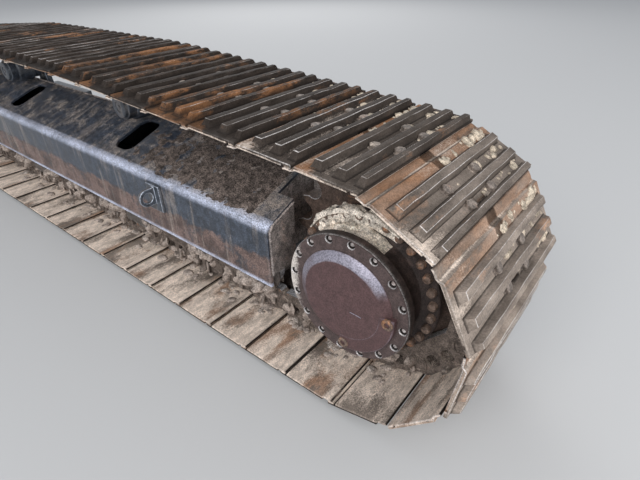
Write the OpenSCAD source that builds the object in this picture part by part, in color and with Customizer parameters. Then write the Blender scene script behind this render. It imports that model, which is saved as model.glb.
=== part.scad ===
// Left-hand crawler track unit of a mid-size tracked digging machine.
// Frame: +X is the way of travel (towards the idler), +Y is outboard, +Z is up.
// The origin is on the ground, under the middle of the chain, half way along the track.

/* [Chain and shoes] */
// Distance between two chain pins
pitch = 190; // [180:1:203]
// Links in the closed chain, which set how far the idler stands forward
links = 49; // [47:1:51]
// Width of a shoe
shoe_w = 600; // [500:10:700]
// Thickness of a shoe's plate
shoe_t = 11; // [8:1:14]
// Height of the three grousers over the plate
grouser_h = 22; // [18:1:30]
// Width of a grouser at its crest
grouser_crest = 20; // [14:1:24]
// Width of a grouser at its root
grouser_root = 32; // [28:1:36]
// Plain lip of the plate beyond a grouser's end
shoe_lip = 26; // [10:1:40]
// Height of the shoe's seat over the pin line
seat_h = 50; // [46:1:54]
// Depth of the rail under the pin line
rail_h = 58; // [52:1:64]
// Gap between the two rows of links
chain_gap = 84; // [76:1:92]
// Thickness of one row of links
link_t = 36; // [30:1:40]
// Radius of a bushing
bushing_r = 30; // [26:1:32]
// Links from the bottom of the sprocket to the first pin on it
chain_phase = 0.905; // [0.85:0.005:0.95]

/* [Sprocket and final drive] */
// Teeth of the sprocket, two to a link
teeth = 21; // [19:2:23]
// Thickness of the sprocket's toothed ring
sprocket_t = 60; // [50:1:66]
// Height of a tooth over the pin circle
tooth_tip = 20; // [14:1:24]
// How far the pin line at the sprocket's foot stands over the straight run
sprocket_lift = 6; // [2:1:20]
// Radius of the drive's turning drum
drum_r = 178; // [165:1:190]
// Radius of the drum's outer flange
flange_r = 198; // [193:1:215]
// Outboard face of the drum's flange
flange_y = 232; // [220:1:240]
// Thickness of the drum's flange
flange_t = 33; // [24:1:40]
// Radius of the ring on the drum that takes the housing's bolts
housing_ring_r = 232; // [224:1:240]
// Outboard face of that ring
housing_ring_y = 132; // [126:1:140]
// Bolts round the flange
flange_bolts = 16; // [12:1:20]
// Radius of the ring of flange bolts
bolt_ring_r = 183; // [182:1:186]
// Radius of a flange bolt's countersink
bolt_sink_r = 10; // [8:1:11]
// Radius of the round hub cover at its foot
cover_r = 152; // [145:1:156]
// Width of the hub cover's sloped edge
cover_slope = 24; // [12:1:30]
// How far the hub cover stands out
cover_t = 16; // [10:1:24]
// Radius at which the two plugs stand
plug_ring_r = 146; // [130:1:148]
// Radius of a plug
plug_r = 17; // [14:1:20]
// Radius of the travel motor
motor_r = 118; // [100:1:126]

/* [Idler] */
// Radius of the idler's tread
idler_tread_r = 229; // [210:1:250]
// Gap between the idler's tread and the rails
idler_gap = 5; // [5:1:8]
// How far the pin line at the idler's foot stands over the straight run
idler_lift = 9; // [4:1:20]
// Height of the idler's centre rib over its tread
idler_rib_h = 19; // [14:1:24]
// Radius of the idler's shaft
idler_shaft_r = 32; // [28:1:36]

/* [Rollers] */
// Track rollers under the frame
roller_count = 9; // [7:1:9]
// Radius of a track roller's tread
roller_r = 77; // [70:1:80]
// Height of a roller's flanges over its tread
roller_flange_h = 15; // [10:1:18]
// From each end of the deck to the nearest track roller
roller_in = 112; // [90:2:150]
// Radius of a carrier roller's tread
carrier_r = 55; // [50:1:58]
// From the sprocket's centre to the first carrier roller
carrier_rear = 1240; // [1200:10:1300]
// Between the two carrier rollers
carrier_span = 1120; // [1000:10:1250]
// Height of the pin line over the carrier rollers
top_pin_z = 806; // [802:1:820]

/* [Side frame] */
// Thickness of the pressed skin and of the plates
wall = 12; // [8:1:16]
// Outboard face of the frame's outer wall
wall_y = 215; // [205:1:225]
// Inboard face of the frame's inner wall
inner_y = 185; // [175:1:195]
// Height of the outer wall's lower edge
skirt_z = 292; // [280:1:300]
// Height of the bend between wall and roof
bend_z = 518; // [510:1:521]
// Slope of the roof
roof_angle = 20; // [17:1:20]
// How far inboard of the chain's middle the roof's ridge lies
ridge_y = 65; // [60:1:70]
// Radius of the bend between wall and roof
bend_r = 30; // [20:1:40]
// From the sprocket's centre to the rear end of the outer wall
frame_rear = 304; // [290:1:330]
// From the front end of the box to the idler's centre
frame_front = 400; // [370:5:430]
// Width of a mud hole along the frame
mud_hole_w = 122; // [100:1:130]
// Length of a mud hole up the slope
mud_hole_l = 190; // [150:1:200]
// Radius of a mud hole's corners
mud_hole_r = 40; // [30:1:48]
// Middle of the mud holes, outboard of the chain's middle
mud_hole_y = 58; // [50:1:66]
// From the sprocket's centre to the first mud hole
mud_hole_rear = 1199; // [1150:1:1240]
// From the first mud hole to the second
mud_hole_span = 1040; // [1000:10:1100]
// From the sprocket's centre to the middle of the tie-down eye
eye_x = 880; // [860:1:900]
// Height of the eye's hole
eye_z = 458; // [448:1:462]
// How far the eye's hole stands out from the wall
eye_out = 41; // [38:1:50]
// Radius of the eye's round end
eye_r = 34; // [30:1:34]
// Radius of the eye's hole
eye_hole_r = 20; // [16:1:22]
// Thickness of the eye
eye_t = 14; // [12:1:20]
// Length of a leg's end on the frame
leg_l = 420; // [360:10:480]
// Height of a leg's end
leg_h = 210; // [180:5:230]
// From the sprocket's centre to the middle of the rear leg
leg_rear = 1180; // [1100:10:1260]
// Between the middles of the two legs
leg_span = 1300; // [1200:10:1400]

/* [Hidden] */
$fn = 64;

// Clearance at seats that don't press, and the small gap of a running fit
seat_gap = 0.3;
run_gap = 5;

// Radii of the pin circles, and the angle that one link takes on each
sprocket_r = pitch / 2 / sin(360 / teeth);
sprocket_step = 720 / teeth;
idler_r = norm([idler_tread_r + idler_gap + rail_h, pitch / 2]);
idler_step = 2 * asin(pitch / 2 / idler_r);

// Heights of the bottom run
pin_z = grouser_h + shoe_t + seat_h;
rail_z = pin_z + rail_h;
drive_z = pin_z + sprocket_r + sprocket_lift;
idler_z = pin_z + idler_r + idler_lift;
roller_z = rail_z + roller_r + seat_gap;
deck_z = roller_z + roller_r + roller_flange_h + 8;
carrier_gap = 4;
carrier_z = top_pin_z - rail_h - carrier_gap - carrier_r;
carrier_flange_h = 9;
ridge_z = bend_z + (wall_y + ridge_y) * tan(roof_angle);

// Places along the frame, measured forward from the sprocket's centre
notch_x = sprocket_r + tooth_tip + 30;
roller_first = notch_x + roller_in;
level_run = 60;
function carrier_x() = [carrier_rear, carrier_rear + carrier_span];
function mud_hole_x() = [mud_hole_rear, mud_hole_rear + mud_hole_span];

// The pin line as seen from outboard: points are [forward, up] and arcs run clockwise.
// A piece is [links, from, to] or [links, centre, radius, first angle, degrees a link].
function straight(a, b) = [norm(b - a) / pitch, a, b];
function wrap(c, r, first, last, step) = [(first - last) / step, c, r, first, step];
function bearing(v) = atan2(v[1], v[0]);
function tangent_angle(c, r, p, side) = bearing(p - c) + side * acos(r / norm(p - c));
function rim(c, r, a) = c + r * [cos(a), sin(a)];
function pin_line(base) =
    let (s = [0, drive_z], i = [base, idler_z],
         c = [for (x = carrier_x()) [x, top_pin_z]],
         b = [[roller_first - level_run, pin_z], [base - frame_front - roller_in + level_run, pin_z]],
         s_foot = tangent_angle(s, sprocket_r, b[0], -1),
         s_head = tangent_angle(s, sprocket_r, c[0], 1) - 360,
         i_head = tangent_angle(i, idler_r, c[1], -1),
         i_foot = tangent_angle(i, idler_r, b[1], 1))
    [wrap(s, sprocket_r, s_foot, s_head, sprocket_step),
     straight(rim(s, sprocket_r, s_head), c[0]),
     straight(c[0], c[1]),
     straight(c[1], rim(i, idler_r, i_head)),
     wrap(i, idler_r, i_head, i_foot, idler_step),
     straight(rim(i, idler_r, i_foot), b[1]),
     straight(b[1], b[0]),
     straight(b[0], rim(s, sprocket_r, s_foot))];
function line_links(line, i = 0) = i == len(line) ? 0 : line[i][0] + line_links(line, i + 1);

// The wheelbase at which the chain closes on a whole number of links
function close_chain(base, tries = 12) =
    tries == 0 ? base : close_chain(base + (links - line_links(pin_line(base))) * pitch / 2, tries - 1);
wheelbase = close_chain(links * pitch / 2.5);
line = pin_line(wheelbase);

function on_piece(p, u) = len(p) == 3 ? p[1] + (p[2] - p[1]) * u / p[0] : rim(p[1], p[2], p[3] - p[4] * u);
function spot(u, i = 0) = u <= line[i][0] || i == len(line) - 1 ? on_piece(line[i], u) : spot(u - line[i][0], i + 1);
pins = [for (k = [0:links - 1]) spot((k + chain_phase) % links)];

// One link's own axes: along from its pin to the next, and out towards the shoe
function pin(k) = pins[(k + links) % links];
function along(k) = (pin(k + 1) - pin(k)) / norm(pin(k + 1) - pin(k));
function outward(v) = [-v[1], v[0]];
function in_link(k, t, n) = pin(k) + along(k) * t + outward(along(k)) * n;
// The corner at pin k of two neighbouring faces that lie n outside the pin line
function corner(k, n) =
    let (m = outward(along(k - 1)) + outward(along(k))) pin(k) + m * n / (m * outward(along(k)));

// Outlines of the closed loop
crest_n = seat_h + shoe_t + grouser_h;
plate_n = seat_h + shoe_t;
// Where the grousers stand, from a link's pin: the first is at the shoe's leading edge
grouser_t = [-4, 56, 122];
sunk = 3;
// Slope of a grouser's flank, sideways for each mm up
flank = (grouser_root - grouser_crest) / 2 / grouser_h;
// The grousers, with their feet sunk in the plates
function grouser_outline() =
    let (foot = grouser_root / 2 + flank * sunk)
    [for (k = [0:links - 1]) for (t = grouser_t) each [
        in_link(k, t - foot, plate_n - sunk), in_link(k, t - grouser_crest / 2, crest_n),
        in_link(k, t + grouser_crest / 2, crest_n), in_link(k, t + foot, plate_n - sunk)]];
function plate_face(n) = [for (k = [0:links - 1]) corner(k, n)];
function rail_outline() =
    [for (k = [0:links - 1]) each [corner(k, -rail_h * 0.66), in_link(k, 20, -rail_h), in_link(k, pitch - 20, -rail_h)]];

// The bounding box of the loop sets the origin
tips = grouser_outline();
x_mid = (max([for (p = tips) p[0]]) + min([for (p = tips) p[0]])) / 2;

// Moves what is measured from the sprocket's centre into the unit's frame
module at_drive() { translate([-x_mid, 0, 0]) children(); }
// Sets a shape drawn in [forward, up] upright, from y0 outboard to y1
module slab(y0, y1) { translate([0, y1, 0]) rotate([90, 0, 0]) linear_extrude(height = y1 - y0) children(); }
// A round bar along Y
module bar_y(x, z, r, y0, y1) { translate([x, y0, z]) rotate([-90, 0, 0]) cylinder(r = r, h = y1 - y0); }
module box(x, y, z) { translate([x[0], y[0], z[0]]) cube([x[1] - x[0], y[1] - y[0], z[1] - z[0]]); }
module ring_outline(outer, inner) {
    polygon(points = concat(outer, inner),
            paths = [[for (i = [0:len(outer) - 1]) i], [for (i = [0:len(inner) - 1]) len(outer) + i]]);
}

module track_loop() {
    rib_y = shoe_w / 2 - shoe_lip;
    color("#7d6a58") at_drive() {
        slab(-shoe_w / 2, shoe_w / 2) ring_outline(plate_face(plate_n), plate_face(seat_h));
        slab(-rib_y, rib_y) ring_outline(grouser_outline(), plate_face(seat_h + 1));
        for (s = [-1, 1])
            slab(s > 0 ? chain_gap / 2 : -chain_gap / 2 - link_t, s > 0 ? chain_gap / 2 + link_t : -chain_gap / 2)
                ring_outline(plate_face(seat_h + 1), rail_outline());
        for (p = pins)
            translate([p[0], -chain_gap / 2 - sunk, p[1]]) rotate([-90, 0, 0])
                cylinder(r = bushing_r, h = chain_gap + 2 * sunk, $fn = 4);
    }
}

// Sprocket: a pocket for each half link, phased on the first pin
pocket_r = bushing_r + 2;
pocket_flare = 14;
first_pin_angle = bearing(pins[0] - [0, drive_z]);
module sprocket_outline() {
    difference() {
        circle(r = sprocket_r + tooth_tip, $fn = 96);
        for (i = [0:teeth - 1])
            rotate(first_pin_angle + i * 360 / teeth) translate([sprocket_r, 0]) {
                circle(r = pocket_r, $fn = 24);
                polygon([[0, -pocket_r], [tooth_tip + 10, -pocket_r - pocket_flare],
                         [tooth_tip + 10, pocket_r + pocket_flare], [0, pocket_r]]);
            }
        circle(r = drum_r + seat_gap, $fn = 96);
    }
}
module sprocket() {
    color("#5b4a3f") at_drive() translate([0, 0, drive_z]) slab(-sprocket_t / 2, sprocket_t / 2) sprocket_outline();
}

// Turning drum with the inner flange that carries the sprocket, the housing's ring and the bolted outer flange
inner_flange_r = 232;
inner_flange_t = 14;
housing_ring_t = 22;
first_bolt = -5;
bolt_sink_d = 12;
module drive_drum() {
    y_in = -sprocket_t / 2;
    color("#3d3230") at_drive() translate([0, 0, drive_z]) difference() {
        union() {
            bar_y(0, 0, drum_r, y_in - inner_flange_t, flange_y - flange_t);
            bar_y(0, 0, inner_flange_r, y_in - inner_flange_t, y_in);
            bar_y(0, 0, housing_ring_r, housing_ring_y - housing_ring_t, housing_ring_y);
            bar_y(0, 0, flange_r, flange_y - flange_t, flange_y);
        }
        for (i = [0:flange_bolts - 1])
            rotate([0, first_bolt - i * 360 / flange_bolts, 0]) bar_y(bolt_ring_r, 0, bolt_sink_r, flange_y - bolt_sink_d, flange_y + 1);
    }
}
// Bearings of the two plugs, measured from forward over up
plug_angle = [180, 266.5];
plug_boss = 7;
cover_lobe = 12;
module hub_cover() {
    span = [for (i = [0:4]) plug_angle[0] + i * (plug_angle[1] - plug_angle[0]) / 4];
    color("#4a2f2a") at_drive() translate([0, flange_y, drive_z]) union() {
        rotate([-90, 0, 0]) rotate_extrude()
            polygon([[0, 0], [cover_r, 0], [cover_r - cover_slope, cover_t], [0, cover_t]]);
        intersection() {
            bar_y(0, 0, cover_r + cover_lobe, 0, cover_t);
            slab(0, cover_t) polygon(concat([[0, 0]], [for (a = span) 1.1 * cover_r * [cos(a), sin(a)]]));
        }
        for (a = plug_angle) rotate([0, -a, 0]) bar_y(plug_ring_r, 0, plug_r + plug_boss, 0, cover_t);
    }
}
plug_t = 5;
plug_socket_r = 9;
module hub_plugs() {
    color("#6b4a3a") at_drive() translate([0, flange_y + cover_t, drive_z])
        for (a = plug_angle) rotate([0, -a, 0]) difference() {
            bar_y(plug_ring_r, 0, plug_r, 0, plug_t);
            bar_y(plug_ring_r, 0, plug_socket_r, plug_t - 3, plug_t + 1);
        }
}
spindle_r = 130;
mount_y = 95;
mount_t = 30;
module drive_spindle() {
    y_drum = -sprocket_t / 2 - inner_flange_t;
    color("#333333") at_drive() translate([0, 0, drive_z]) union() {
        bar_y(0, 0, spindle_r + 30, -mount_y, y_drum);
        bar_y(0, 0, spindle_r, -mount_y - mount_t, -mount_y);
    }
}
motor_l = 90;
valve_w = 190;
valve_h = 160;
valve_t = 70;
module travel_motor() {
    y0 = -mount_y - mount_t;
    color("#2f2f33") at_drive() translate([0, 0, drive_z]) union() {
        bar_y(0, 0, motor_r, y0 - motor_l, y0);
        box([-valve_w / 2, valve_w / 2], [y0 - motor_l - valve_t, y0 - motor_l], [-valve_h / 2, valve_h / 2]);
    }
}

idler_hub_r = 70;
idler_web_in = 8;
idler_rim_t = 30;
idler_rib_taper = 6;
module idler_wheel() {
    rib_r = idler_tread_r + idler_rib_h;
    rib_w = chain_gap / 2 - 6;
    tread_w = chain_gap / 2 + link_t + 2;
    rim_r = idler_tread_r - idler_rim_t;
    web_r = [idler_hub_r + 8, rim_r - 14];
    web_w = rib_w - idler_web_in;
    color("#4c4038") at_drive() translate([wheelbase, 0, idler_z]) rotate([-90, 0, 0]) rotate_extrude($fn = 96)
        polygon([[idler_shaft_r + seat_gap, -tread_w], [idler_hub_r, -tread_w], [web_r[0], -rib_w], [web_r[1], -web_w],
                 [rim_r, -tread_w], [idler_tread_r, -tread_w], [idler_tread_r, -rib_w],
                 [rib_r, idler_rib_taper - rib_w], [rib_r, rib_w - idler_rib_taper], [idler_tread_r, rib_w],
                 [idler_tread_r, tread_w], [rim_r, tread_w], [web_r[1], web_w], [web_r[0], rib_w],
                 [idler_hub_r, tread_w], [idler_shaft_r + seat_gap, tread_w]]);
}
block_y = [chain_gap / 2 + link_t + 2 + run_gap, 140];
block_h = 110;
block_l = 170;
module both_sides() { children(); mirror([0, 1, 0]) children(); }
module idler_shaft() {
    color("#5a5a5a") at_drive() bar_y(wheelbase, idler_z, idler_shaft_r, -block_y[1] - 4, block_y[1] + 4);
}
module idler_blocks() {
    color("#3b3632") at_drive() both_sides() difference() {
        box([wheelbase - block_l / 2, wheelbase + block_l / 2], block_y, [idler_z - block_h / 2, idler_z + block_h / 2]);
        bar_y(wheelbase, idler_z, idler_shaft_r + seat_gap, block_y[0] - 1, block_y[1] + 1);
    }
}
yoke_arm_t = 30;
yoke_h = 100;
yoke_t = 40;
yoke_behind = idler_tread_r + idler_rib_h + 20;
yoke_x = [wheelbase - yoke_behind - yoke_t, wheelbase - yoke_behind];
module idler_yoke() {
    arm_y = [block_y[0] + 5, block_y[0] + 5 + yoke_arm_t];
    z = [idler_z - yoke_h / 2, idler_z + yoke_h / 2];
    color("#35302c") at_drive() union() {
        box(yoke_x, [-arm_y[1], arm_y[1]], z);
        both_sides() box([yoke_x[0], wheelbase - block_l / 2], arm_y, z);
    }
}
adjuster_r = 36;
adjuster_in = 120;
module adjuster_rod() {
    x0 = wheelbase - frame_front - adjuster_in;
    color("#6a6a6a") at_drive() translate([x0, 0, idler_z]) rotate([0, 90, 0]) cylinder(r = adjuster_r, h = yoke_x[0] - x0);
}
guide_y = [block_y[0] + 4, block_y[1] + 22];
guide_h = 34;
guide_l = 70;
module idler_guides() {
    gap = block_h / 2 + seat_gap;
    color("#26282c") at_drive() both_sides()
        for (z = [[idler_z + gap, idler_z + gap + guide_h], [idler_z - gap - guide_h, idler_z - gap]])
            box([wheelbase - frame_front, wheelbase + guide_l], guide_y, z);
}

function roller_x() = [for (i = [0:roller_count - 1])
    roller_first + i * (wheelbase - frame_front - roller_in - roller_first) / (roller_count - 1)];
roller_w = chain_gap / 2 + link_t + 12;
collar_y = [roller_w + 1, roller_w + 36];
roller_shaft_r = 30;
roller_waist = 14;
collar_l = 150;
collar_below = 44;
collar_slope = 24;
module track_rollers() {
    c = chain_gap / 2;
    f = roller_r + roller_flange_h;
    color("#463c36") at_drive() for (x = roller_x())
        translate([x, 0, roller_z]) rotate([-90, 0, 0]) rotate_extrude()
            polygon([[roller_shaft_r + seat_gap, -roller_w], [f - 6, -roller_w], [f, -roller_w + 6],
                     [roller_r, -c - link_t - 2], [roller_r, -c + 8], [roller_r - roller_waist, -c + 16],
                     [roller_r - roller_waist, c - 16], [roller_r, c - 8], [roller_r, c + link_t + 2],
                     [f, roller_w - 6], [f - 6, roller_w], [roller_shaft_r + seat_gap, roller_w]]);
}
module roller_shafts() {
    color("#55504a") at_drive() for (x = roller_x()) bar_y(x, roller_z, roller_shaft_r, -collar_y[1], collar_y[1]);
}
module roller_collars() {
    color("#3a3330") at_drive() for (x = roller_x()) both_sides() difference() {
        box([x - collar_l / 2, x + collar_l / 2], collar_y, [roller_z - collar_below, deck_z]);
        for (s = [-1, 1]) translate([x + s * collar_l / 2, 0, roller_z - collar_below]) rotate([0, s * collar_slope, 0])
            box([-22, 22], [collar_y[0] - 1, collar_y[1] + 1], [-60, 60]);
        bar_y(x, roller_z, roller_shaft_r + seat_gap, collar_y[0] - 1, collar_y[1] + 1);
    }
}

carrier_w = chain_gap / 2 + link_t - 2;
carrier_shaft_r = 22;
carrier_cap_t = 14;
carrier_hub_t = 16;
// A bracket's width on the roof and at the roller's axis, and the radius of its head
bracket_foot = 120;
bracket_head = 68;
bracket_r = 40;
bracket_t = 30;
bracket_y = [-carrier_w - carrier_hub_t - bracket_t, -carrier_w - carrier_hub_t];
module carrier_rollers() {
    f = carrier_r + carrier_flange_h;
    c = chain_gap / 2;
    hub_r = carrier_shaft_r + 14;
    color("#4d5560") at_drive() for (x = carrier_x()) translate([x, 0, carrier_z]) rotate([-90, 0, 0]) rotate_extrude()
        polygon([[0, -carrier_w - carrier_hub_t], [hub_r, -carrier_w - carrier_hub_t], [hub_r, -carrier_w],
                 [carrier_r, -carrier_w], [carrier_r, -c + 2], [f, -c + 6], [f, c - 6], [carrier_r, c - 2],
                 [carrier_r, carrier_w], [carrier_r - 10, carrier_w + carrier_cap_t], [0, carrier_w + carrier_cap_t]]);
}
module carrier_brackets() {
    slope = (ridge_z - bend_z) / (inner_y - ridge_y);
    foot = [for (y = bracket_y) [y, ridge_z + (y + ridge_y) * slope]];
    color("#24272c") at_drive() for (x = carrier_x()) intersection() {
        translate([x, 0, 0]) slab(bracket_y[0], bracket_y[1]) {
            polygon([[-bracket_foot / 2, foot[0][1]], [bracket_foot / 2, foot[0][1]],
                     [bracket_head / 2, carrier_z], [-bracket_head / 2, carrier_z]]);
            translate([0, carrier_z]) circle(r = bracket_r);
        }
        along_frame(x - bracket_foot, x + bracket_foot)
            polygon([foot[0], foot[1], [bracket_y[1], carrier_z + 2 * bracket_r], [bracket_y[0], carrier_z + 2 * bracket_r]]);
    }
}

// The two skins are drawn in [outboard, up], the inner one mirrored, and meet at the ridge
function unit(v) = v / norm(v);
function left(v) = [-v[1], v[0]];
function turned(v, a) = [v[0] * cos(a) - v[1] * sin(a), v[0] * sin(a) + v[1] * cos(a)];
// The line a-b-c bent round at b, shifted to the left by off, without its end at c
function bent_line(a, b, c, r, off, steps) =
    let (d1 = unit(b - a), d2 = unit(c - b), turn = atan2(d1[0] * d2[1] - d1[1] * d2[0], d1 * d2),
         centre = b - d1 * r * tan(turn / 2) + left(d1) * r)
    concat([a + left(d1) * off], [for (i = [0:steps]) centre - turned(left(d1) * (r - off), turn * i / steps)]);
function reversed(v) = [for (i = [len(v) - 1:-1:0]) v[i]];
// The skin's outside, or its inside at off, from the wall's foot at y over the bend to the ridge at top
function skin_slope(y, top) = atan2(ridge_z - bend_z, y - top);
function skin_side(y, low, top, off) =
    concat(bent_line([y, low], [y, bend_z], [top, ridge_z], bend_r, off, 8),
           [[top, ridge_z - off / cos(skin_slope(y, top))]]);
function skin_section(y, low, top) = concat(skin_side(y, low, top, 0), reversed(skin_side(y, low, top, wall)));
box_x = [frame_rear, wheelbase - frame_front];
notch_y = chain_gap / 2 + link_t + 8;
module along_frame(x0, x1) { translate([x0, 0, 0]) rotate([90, 0, 90]) linear_extrude(height = x1 - x0) children(); }
module sprocket_notch() { box([frame_rear - 1, notch_x], [-notch_y, notch_y], [skirt_z - 1, ridge_z + 1]); }
module mud_holes() {
    deep = 60;
    w = mud_hole_w / 2;
    l = mud_hole_l / 2;
    for (x = mud_hole_x())
        translate([x, mud_hole_y, bend_z + (wall_y - mud_hole_y) * tan(roof_angle)]) rotate([-roof_angle, 0, 0]) union() {
            for (i = [-1, 1], j = [-1, 1])
                translate([i * (w - mud_hole_r), j * (l - mud_hole_r), -deep]) cylinder(r = mud_hole_r, h = 2 * deep);
            box([-w, w], [mud_hole_r - l, l - mud_hole_r], [-deep, deep]);
            box([mud_hole_r - w, w - mud_hole_r], [-l, l], [-deep, deep]);
        }
}
module outer_skin() {
    color("#23262b") at_drive() difference() {
        along_frame(box_x[0], box_x[1]) polygon(skin_section(wall_y, skirt_z, -ridge_y));
        sprocket_notch();
        mud_holes();
    }
}
module inner_skin() {
    color("#23262b") at_drive() mirror([0, 1, 0]) along_frame(notch_x, box_x[1]) polygon(skin_section(inner_y, deck_z, ridge_y));
}
module bottom_plate() {
    color("#202226") at_drive() box([notch_x, box_x[1]], [-inner_y + wall, wall_y - wall], [deck_z, deck_z + wall]);
}
// What the skin encloses over the deck, from y0 to the wall at y1
function section_inside(y0, y1, top) =
    let (in = skin_side(y1, deck_z + wall, top, wall), last = len(in) - 1)
    [[y0, deck_z + wall], in[0], in[1], in[last - 1], [y0, in[last][1] - (y0 - top) * tan(skin_slope(y1, top))]];
module rear_end_plate() {
    side = section_inside(notch_y, wall_y, -ridge_y);
    color("#23262b") at_drive() union() {
        along_frame(frame_rear, frame_rear + wall) polygon(side);
        box([frame_rear + wall, notch_x], [notch_y, notch_y + wall], [deck_z + wall, side[4][1] - wall]);
    }
}
// A bulkhead fills the section from wall to wall
module bulkhead(x0) {
    along_frame(x0, x0 + wall) polygon(section_inside(-ridge_y, wall_y, -ridge_y));
    mirror([0, 1, 0]) along_frame(x0, x0 + wall) polygon(section_inside(ridge_y, inner_y, ridge_y));
}
module rear_bulkhead() {
    color("#202226") at_drive() union() { bulkhead(notch_x); }
}
module front_bulkhead() {
    x0 = box_x[1] - wall;
    color("#202226") at_drive() difference() {
        union() { bulkhead(x0); }
        translate([x0 - 1, 0, idler_z]) rotate([0, 90, 0]) cylinder(r = adjuster_r + seat_gap, h = wall + 2);
    }
}
mount_r = 205;
mount_over_bend = 20;
mount_top = [60, 190];
module drive_mount() {
    color("#23262b") at_drive() slab(-mount_y - mount_t, -mount_y) difference() {
        union() {
            translate([0, drive_z]) circle(r = mount_r, $fn = 96);
            polygon([[0, drive_z - mount_r], [notch_x, deck_z + wall], [notch_x, bend_z + mount_over_bend],
                     [mount_top[0], drive_z + mount_top[1]]]);
        }
        translate([0, drive_z]) circle(r = spindle_r + seat_gap, $fn = 96);
    }
}
// The two ribs from the drive's mount to the box
drive_rib_l = 150;
drive_rib_t = 10;
module drive_ribs() {
    y = [-inner_y + wall, -mount_y - mount_t];
    color("#23262b") at_drive() {
        box([notch_x - drive_rib_l, notch_x], y, [bend_z - drive_rib_t, bend_z]);
        box([notch_x - drive_rib_l, notch_x], y, [deck_z + wall, deck_z + wall + drive_rib_t]);
    }
}
// The plates that keep the chain under the rollers, between two of them
guard_in = 90;
guard_t = 16;
guard_below = 20;
module chain_guards() {
    x = roller_x();
    color("#2b2a2a") at_drive() for (i = [2, roller_count - 4]) both_sides()
        box([x[i] + guard_in, x[i + 1] - guard_in], [collar_y[0], collar_y[0] + guard_t], [rail_z - guard_below, deck_z]);
}
module leg_stubs() {
    color("#26292e") at_drive() for (x = [leg_rear, leg_rear + leg_span])
        translate([x - leg_l / 2, -shoe_w / 2, bend_z - leg_h]) difference() {
            cube([leg_l, shoe_w / 2 - inner_y, leg_h]);
            translate([wall, -1, wall]) cube([leg_l - 2 * wall, shoe_w / 2 - inner_y + 2, leg_h - 2 * wall]);
        }
}
// An upright eye on a pad, which is welded to the outer wall
eye_pad_x = [eye_x - 34, eye_x + 45];
eye_pad_z = [eye_z - 66, eye_z + 40];
eye_pad_t = 11;
module tie_down_eye() {
    y = wall_y + eye_out;
    color("#2c2f34") at_drive() union() {
        box(eye_pad_x, [wall_y, wall_y + eye_pad_t], eye_pad_z);
        along_frame(eye_x - eye_t / 2, eye_x + eye_t / 2) difference() {
            union() {
                translate([y, eye_z]) circle(r = eye_r);
                translate([wall_y + 1, eye_z - eye_r]) square([eye_out - 1, 2 * eye_r]);
            }
            translate([y, eye_z]) circle(r = eye_hole_r);
        }
    }
}

track_loop();
sprocket();
drive_drum();
hub_cover();
hub_plugs();
drive_spindle();
travel_motor();
idler_wheel();
idler_shaft();
idler_blocks();
idler_yoke();
adjuster_rod();
idler_guides();
track_rollers();
roller_shafts();
roller_collars();
carrier_rollers();
carrier_brackets();
outer_skin();
inner_skin();
bottom_plate();
rear_end_plate();
rear_bulkhead();
front_bulkhead();
drive_mount();
drive_ribs();
chain_guards();
leg_stubs();
tie_down_eye();
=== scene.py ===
"""Looks of a crawler track unit: chain with triple-grouser shoes, final drive, side frame, rollers and idler.

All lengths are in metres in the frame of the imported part: +X towards the idler, +Y outboard, +Z up,
with the origin on the ground under the middle of the chain.
"""
import logging
import math
from dataclasses import dataclass, field
from enum import Enum
from typing import Callable, Iterable, Optional, Sequence

import bmesh
import bpy
from mathutils import Matrix, Vector, noise


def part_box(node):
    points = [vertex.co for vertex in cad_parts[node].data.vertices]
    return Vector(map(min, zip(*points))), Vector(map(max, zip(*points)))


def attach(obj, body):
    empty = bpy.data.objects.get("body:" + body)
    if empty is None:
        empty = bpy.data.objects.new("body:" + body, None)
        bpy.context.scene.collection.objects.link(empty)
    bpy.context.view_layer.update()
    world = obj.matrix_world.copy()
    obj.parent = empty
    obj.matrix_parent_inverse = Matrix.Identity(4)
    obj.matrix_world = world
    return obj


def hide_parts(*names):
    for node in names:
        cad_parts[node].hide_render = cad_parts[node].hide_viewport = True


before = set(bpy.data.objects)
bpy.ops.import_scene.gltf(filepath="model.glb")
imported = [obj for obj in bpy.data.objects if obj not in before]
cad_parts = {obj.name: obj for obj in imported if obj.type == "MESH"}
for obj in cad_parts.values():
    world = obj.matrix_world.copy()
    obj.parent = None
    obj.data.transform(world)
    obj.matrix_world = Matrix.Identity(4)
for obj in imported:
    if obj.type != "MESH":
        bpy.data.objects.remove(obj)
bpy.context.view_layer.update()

LOG = logging.getLogger("track_unit")

Colour = tuple[float, float, float]
Triple = tuple[float, float, float]
Point2 = tuple[float, float]


class Body(Enum):
    """The moving bodies of the part."""

    TRACK = "track_unit"
    IDLER = "idler"


class Slot(Enum):
    """The record's material slots."""

    SHOE = "shoe_steel"
    SPROCKET = "sprocket_steel"
    DRIVE = "drive_iron"
    COVER = "cover_paint"
    PLUG = "plug_steel"
    FRAME = "frame_paint"
    ROLLER = "roller_iron"
    SHAFT = "shaft_steel"
    GUARD = "guard_iron"


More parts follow.
